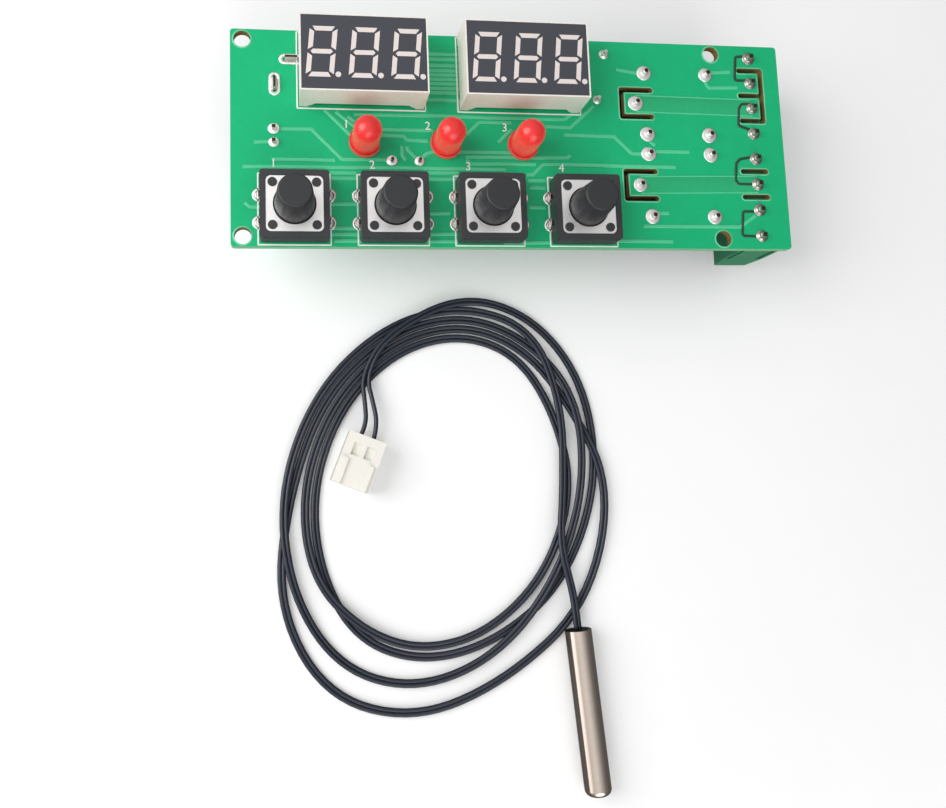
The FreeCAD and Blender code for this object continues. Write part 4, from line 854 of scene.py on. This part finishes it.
# %% Tracks under the board
CHIP_X = [7.95 + 0.65 * (n - 4.5) for n in range(10)]
RESISTOR_X = [-14.0 + 2.6 * n for n in range(8)]
right_pins = pin_x[6:]
pin_y = PIN_Y - PIN_ROW
lower_routes = []
for n, x in enumerate(RESISTOR_X):
    level = 0.3 + 0.3 * n
    lower_routes.append([(x, 2.8), (x, level), (CHIP_X[n], level), (CHIP_X[n], -2.0)])
for x, pin in zip(RESISTOR_X[2:], right_pins):
    lower_routes.append([(x, 4.4), (x, pin_y - (pin - x)), (pin, pin_y)])
for n, (x, lead_n) in enumerate(zip(switch_x, (7, 6, 5, 8))):
    level = -18.6 + 0.45 * n
    leg = x + LEG_X
    lower_routes.append([(leg, -15.75), (leg, level), (CHIP_X[lead_n], level), (CHIP_X[lead_n], -9.6)])
lower_routes += [
    [(HEADER_X, -1.0), (-41.6, -3.8), (-41.6, -9.0), (4.6, -9.0), (CHIP_X[0], -9.5)],
    [(15.2, 4.0), (12.6, 4.0), (11.3, 2.7), (11.3, -0.7), (CHIP_X[8], -1.7), (CHIP_X[8], -2.0)],
    [(15.2, -4.0), (13.4, -2.2), (11.6, -1.7), (CHIP_X[9], -2.0)],
]
supply_routes = [
    [(-38.2, 9.8), (-36.5, 8.1), (-36.5, -4.4)],
    [(-33.4, -6.0), (-25.4, -6.0), (-23.4, -4.1)],
]


def hang(name, tree, foot, top, height, routes):
    """Strips under the board: laid on it as in a mirror, and turned over about its long middle line."""
    mirrored = [[(x, -y) for x, y in route] for route in routes]
    piece = lay(name, tree, foot, top, height, mirrored)
    middle = Vector((0, 0, (TOP + UNDER) / 2)) * MM
    over = Matrix.Translation(middle) @ Matrix.Rotation(math.pi, 4, "X") @ Matrix.Translation(-middle)
    piece.data.transform(over)
    return piece


settle(hang("lower_tracks", thin, 0.26, 0.2, 0.06, lower_routes))
settle(hang("supply_tracks", thin, 1.6, 1.4, 0.08, supply_routes))

# %% [markdown]
# White outlines are printed round the displays and the switches, where the parts go. Beside the screw
# terminals, brackets drawn by hand with a marker join the ways that belong together.

# %% Printed outlines and marker brackets


def outline(x, y, width, depth):
    """A closed rectangle about a place."""
    w, d = width / 2, depth / 2
    return [(x - w, y - d), (x + w, y - d), (x + w, y + d), (x - w, y + d), (x - w, y - d)]


print_white = finish("print_white", (238, 240, 236), 0.6, tones=0.05, grain=0.4)
printed = [outline(x, 12.55, 23.2, 14.4) for x in display_x]
printed += [outline(x, SWITCH_Y, 12.7, 12.9) for x in switch_x]
silk = strip_tree("print_line", print_white, 0.05)
settle(lay("printed_outlines", silk, 0.26, 0.22, 0.12, printed))

brackets = [
    [(45.8, 18.0), (43.6, 17.8), (43.1, 13.0), (45.3, 13.1)],
    [(46.0, 8.4), (44.1, 8.3), (43.5, 7.4), (43.2, 4.0), (45.6, 3.2)],
    [(45.2, -2.2), (43.0, -2.6), (42.2, -3.4), (41.8, -6.8), (42.4, -7.5), (45.4, -7.5)],
    [(45.3, -12.8), (42.8, -12.8), (42.3, -17.5), (45.4, -17.6)],
]
marker_ink = finish("marker_ink", (30, 62, 44), 0.5, tones=0.3, grain=0.5)
pen = strip_tree("pen_stroke", marker_ink, 0.5)
settle(lay("marker_brackets", pen, 0.5, 0.44, 0.12, brackets))

# %% [markdown]
# The switch legs pass through rings of bare tinned copper, filled with solder. The flat tabs of the power
# jack have long pads with round ends, filled with solder too.

# %% Pad rings and slot pads
RING_SIDES = 28


def ring_tree(name, material):
    """Flat rings on points."""
    tree, sizes = new_tree(name, ("Middle Radius", "Width", "Height"))
    turns = {"Resolution": RING_SIDES, "Radius": sizes["Middle Radius"]}
    loop = out(tree, "GeometryNodeCurvePrimitiveCircle", turns)
    widths = {"Width": sizes["Width"], "Height": sizes["Height"]}
    section = out(tree, "GeometryNodeCurvePrimitiveQuadrilateral", widths, mode="RECTANGLE")
    level = out(tree, "GeometryNodeSetCurveNormal", {"Curve": loop}, mode="Z_UP")
    sweep = out(tree, "GeometryNodeCurveToMesh", {"Curve": level, "Profile Curve": section})
    copies = out(tree, "GeometryNodeInstanceOnPoints", {"Points": sizes["Geometry"], "Instance": sweep})
    end_tree(tree, copies, material)
    return tree


ring_sizes = {"Middle Radius": 1.02, "Width": 0.42, "Height": 0.12}
rings = grow("switch_pads", ring_tree("pad_ring", solder), ring_sizes, at(leg_places, TOP + 0.05))
settle(rings)
fill_sizes = {"Middle Radius": 0.5, "Width": 0.8, "Height": 0.08}
fills = grow("switch_pad_fills", ring_tree("pad_fill", dull_solder), fill_sizes, at(leg_places, TOP + 0.03))
settle(fills)
tab_pads = [outline(-44.2, 9.8, 1.5, 3.9), outline(-41.2, 14.5, 3.9, 1.5)]
loop = strip_tree("slot_pad", solder, 0.75)
settle(lay("jack_pads", loop, 0.6, 0.4, 0.16, tab_pads))
tab_fills = [[(-44.2, 8.6), (-44.2, 11.0)], [(-42.4, 14.5), (-40.0, 14.5)]]
bed = strip_tree("slot_fill", dull_solder, 0.1)
settle(lay("jack_pad_fills", bed, 1.2, 0.9, 0.1, tab_fills))

# %% [markdown]
# The mask stops a little short of every routed slot and mounting hole, and leaves a pale rim. The openings
# are found on the board's own mesh: a rim edge lies at the top between one level face and one upright face.
# Each loop is moved outward by half the rim's width, and a strip is laid along it.

# %% Rims of slots and holes
SAME_PLACE = 0.001 * MM
SAME_LEVEL = 0.01 * MM


def openings(node, z, least, most):
    """Loops of points, in mm, round the openings from least to most across in a node's face at z."""
    shape = bmesh.new()
    shape.from_mesh(frame["nodes"][node].data)
    bmesh.ops.remove_doubles(shape, verts=shape.verts, dist=SAME_PLACE)
    beside = {}
    for edge in shape.edges:
        level = all(abs(v.co.z - z * MM) < SAME_LEVEL for v in edge.verts)
        flat_faces = sum(abs(face.normal.z) > 0.5 for face in edge.link_faces)
        if level and flat_faces == 1:
            for a, b in (edge.verts, reversed(edge.verts)):
                beside.setdefault(a, []).append(b)
    loops = []
    while beside:
        here, loop = next(iter(beside)), []
        while here is not None:
            loop.append(np.array(here.co.xy) / MM)
            here = next((v for v in beside.pop(here) if v in beside), None)
        if least < np.ptp(loop, axis=0).max() < most:
            loops.append(np.array(loop))
    shape.free()
    return loops


def turning(loop):
    """1 for a closed loop of points that runs anticlockwise, -1 for one that runs clockwise."""
    x, y = np.array(loop).T
    return np.sign((x * np.roll(y, -1) - np.roll(x, -1) * y).sum())


def widened(loop, off):
    """A closed loop of points moved outward by off, and closed."""
    ahead = np.roll(loop, -1, axis=0) - np.roll(loop, 1, axis=0)
    outward = unit(np.stack((ahead[:, 1], -ahead[:, 0]), axis=1))
    moved = loop + outward * turning(loop) * off
    return [tuple(p) for p in moved] + [tuple(moved[0])]


RIM_WIDTH = 0.3
LEAST_OPENING, MOST_OPENING = 2.6, 60.0
holes = openings("circuit_board", TOP, LEAST_OPENING, MOST_OPENING)
rims = [widened(hole, RIM_WIDTH / 2) for hole in holes]
rim_green = finish("rim_green", (104, 204, 156), 0.4, tones=0.05, grain=0.8, depth=0.004)
rim_line = strip_tree("rim_line", rim_green, 0.02)
settle(lay("mask_rims", rim_line, RIM_WIDTH, RIM_WIDTH * 0.8, 0.05, rims))
print("rims:", [tuple(np.ptp(np.array(rim), axis=0).round(1)) for rim in rims])

# %% [markdown]
# Boards carry small printed labels beside their lamps and switches. Here they are plain numbers, counted
# from the left. Each is a text object made a mesh, and all are joined into one piece.

# %% Printed numbers
NUMBER_SIZE = 2.2
NUMBER_THICK = 0.05


def number(text, x, y):
    """Corners and faces of one printed number."""
    letter = bpy.data.curves.new("number", "FONT")
    letter.body = text
    letter.size = NUMBER_SIZE * MM
    letter.extrude = NUMBER_THICK * MM
    letter.resolution_u = 3
    letter.align_x = "CENTER"
    letter.align_y = "CENTER"
    holder = bpy.data.objects.new("number", letter)
    bpy.context.collection.objects.link(holder)
    mesh = bpy.data.meshes.new_from_object(holder)
    bpy.data.objects.remove(holder)
    corners = [v.co + Vector((x, y, TOP + NUMBER_THICK)) * MM for v in mesh.vertices]
    return corners, [tuple(p.vertices) for p in mesh.polygons]


labels = [number(str(n + 1), x - 3.3, 2.5) for n, x in enumerate(lamp_x)]
labels += [number(str(n + 1), x - 3.6, -5.0) for n, x in enumerate(switch_x)]
numbers = piece_from("printed_numbers", labels, smooth=False)
numbers.data.materials.append(print_white)
settle(numbers)
print("numbers:", len(labels))

# %% [markdown]
# Each display has a dark film with three light digits, and a digit is seven bars and a dot. The outer bars
# are cut at both ends, shorter towards the middle of the digit, so that dark gaps open into its corners.
# The middle bar has a point at each end, and the whole digit leans. A few sizes settle all of it, so one
# function draws a digit. The solids have plainer bars with blunt corners, so the films and digits here take
# their place.

# %% The bars of a digit
HALF_WIDTH = 2.42
HALF_HEIGHT = 4.6
BAR = 0.84
CORNER_GAP = 0.48
MIDDLE_GAP = 0.3
END_CUT = 0.55
MIDDLE_HALF = 1.92
MIDDLE_TIP = 0.36
LEAN = math.tan(math.radians(5.5))
DOT_RADIUS = 0.5
DOT_STEP = 0.76
DOT_SIDES = 24


def digit_outlines():
    """Outlines of the seven bars and the dot of a digit, about its middle."""
    level = HALF_WIDTH - CORNER_GAP
    head = HALF_HEIGHT - CORNER_GAP
    inner = HALF_WIDTH - BAR
    bars = []
    for s in BOTH_WAYS:
        top, under = s * HALF_HEIGHT, s * (HALF_HEIGHT - BAR)
        bars.append([(-level, top), (level, top), (level - END_CUT, under), (END_CUT - level, under)])
        for t in BOTH_WAYS:
            outer_ends = [(s * HALF_WIDTH, t * MIDDLE_GAP), (s * HALF_WIDTH, t * head)]
            inner_ends = [(s * inner, t * (head - END_CUT)), (s * inner, t * (MIDDLE_GAP + END_CUT))]
            bars.append(outer_ends + inner_ends)
    flat = MIDDLE_HALF - MIDDLE_TIP
    upper = [(flat, BAR / 2), (-flat, BAR / 2)]
    lower = [(-flat, -BAR / 2), (flat, -BAR / 2)]
    bars.append([(MIDDLE_HALF, 0)] + upper + [(-MIDDLE_HALF, 0)] + lower)
    bars = [[(x + LEAN * y, y) for x, y in bar] for bar in bars]
    dot_y = DOT_RADIUS - HALF_HEIGHT
    dot_x = HALF_WIDTH + LEAN * dot_y + DOT_STEP
    turns = [2 * math.pi * k / DOT_SIDES for k in range(DOT_SIDES)]
    dot = [(dot_x + DOT_RADIUS * math.cos(a), dot_y + DOT_RADIUS * math.sin(a)) for a in turns]
    return bars + [dot]


print("outlines of a digit:", len(digit_outlines()))

# %% [markdown]
# Each outline becomes a flat plate. A bevel eases the film's edge, and the digits stand a hair proud of the
# film, so that the two never share a face.

# %% Films and digits
DIGIT_STEP = 7.4
DIGIT_PROUD = 0.01
FILM_EDGE = 0.06


def plate(line, low, high):
    """Corners and faces of a flat plate from low to high, whichever way its outline runs."""
    if turning(line) < 0:
        line = line[::-1]
    count = len(line)
    corners = [Vector((x, y, z)) * MM for z in (low, high) for x, y in line]
    faces = [tuple(range(count))[::-1], tuple(range(count, 2 * count))]
    for k in range(count):
        j = (k + 1) % count
        faces.append((k, j, count + j, count + k))
    return corners, faces


for side_name in ("left", "right"):
    low, high = [np.array(corner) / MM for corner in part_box(f"display_{side_name}_face")]
    middle = (low + high) / 2
    frame_line = [(low[0], low[1]), (high[0], low[1]), (high[0], high[1]), (low[0], high[1])]
    film = piece_from(f"{side_name}_film", [plate(frame_line, low[2], high[2])], smooth=False)
    eased = film.modifiers.new("eased_edge", "BEVEL")
    eased.width = FILM_EDGE * MM
    eased.segments = 2
    film.data.materials.append(made["display_film"])
    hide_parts(f"display_{side_name}_face")
    settle(film)
    parts = []
    for n in (-1, 0, 1):
        for bar in digit_outlines():
            placed = [(middle[0] + n * DIGIT_STEP + x, middle[1] + y) for x, y in bar]
            parts.append(plate(placed, low[2], high[2] + DIGIT_PROUD))
    digits = piece_from(f"{side_name}_digits", parts, smooth=False)
    digits.data.materials.append(made["segment_glow"])
    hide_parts(f"display_{side_name}_segments")
    settle(digits)
    print(side_name, "display:", len(parts), "bars and dots")

# %% [markdown]
# The lead is a free cord. It takes the place of the plain solid of the same turns, which is hidden.

# %% The lead takes its place
lead.data.materials.append(lead_skin)
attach(lead, "controller")
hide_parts("probe_lead")
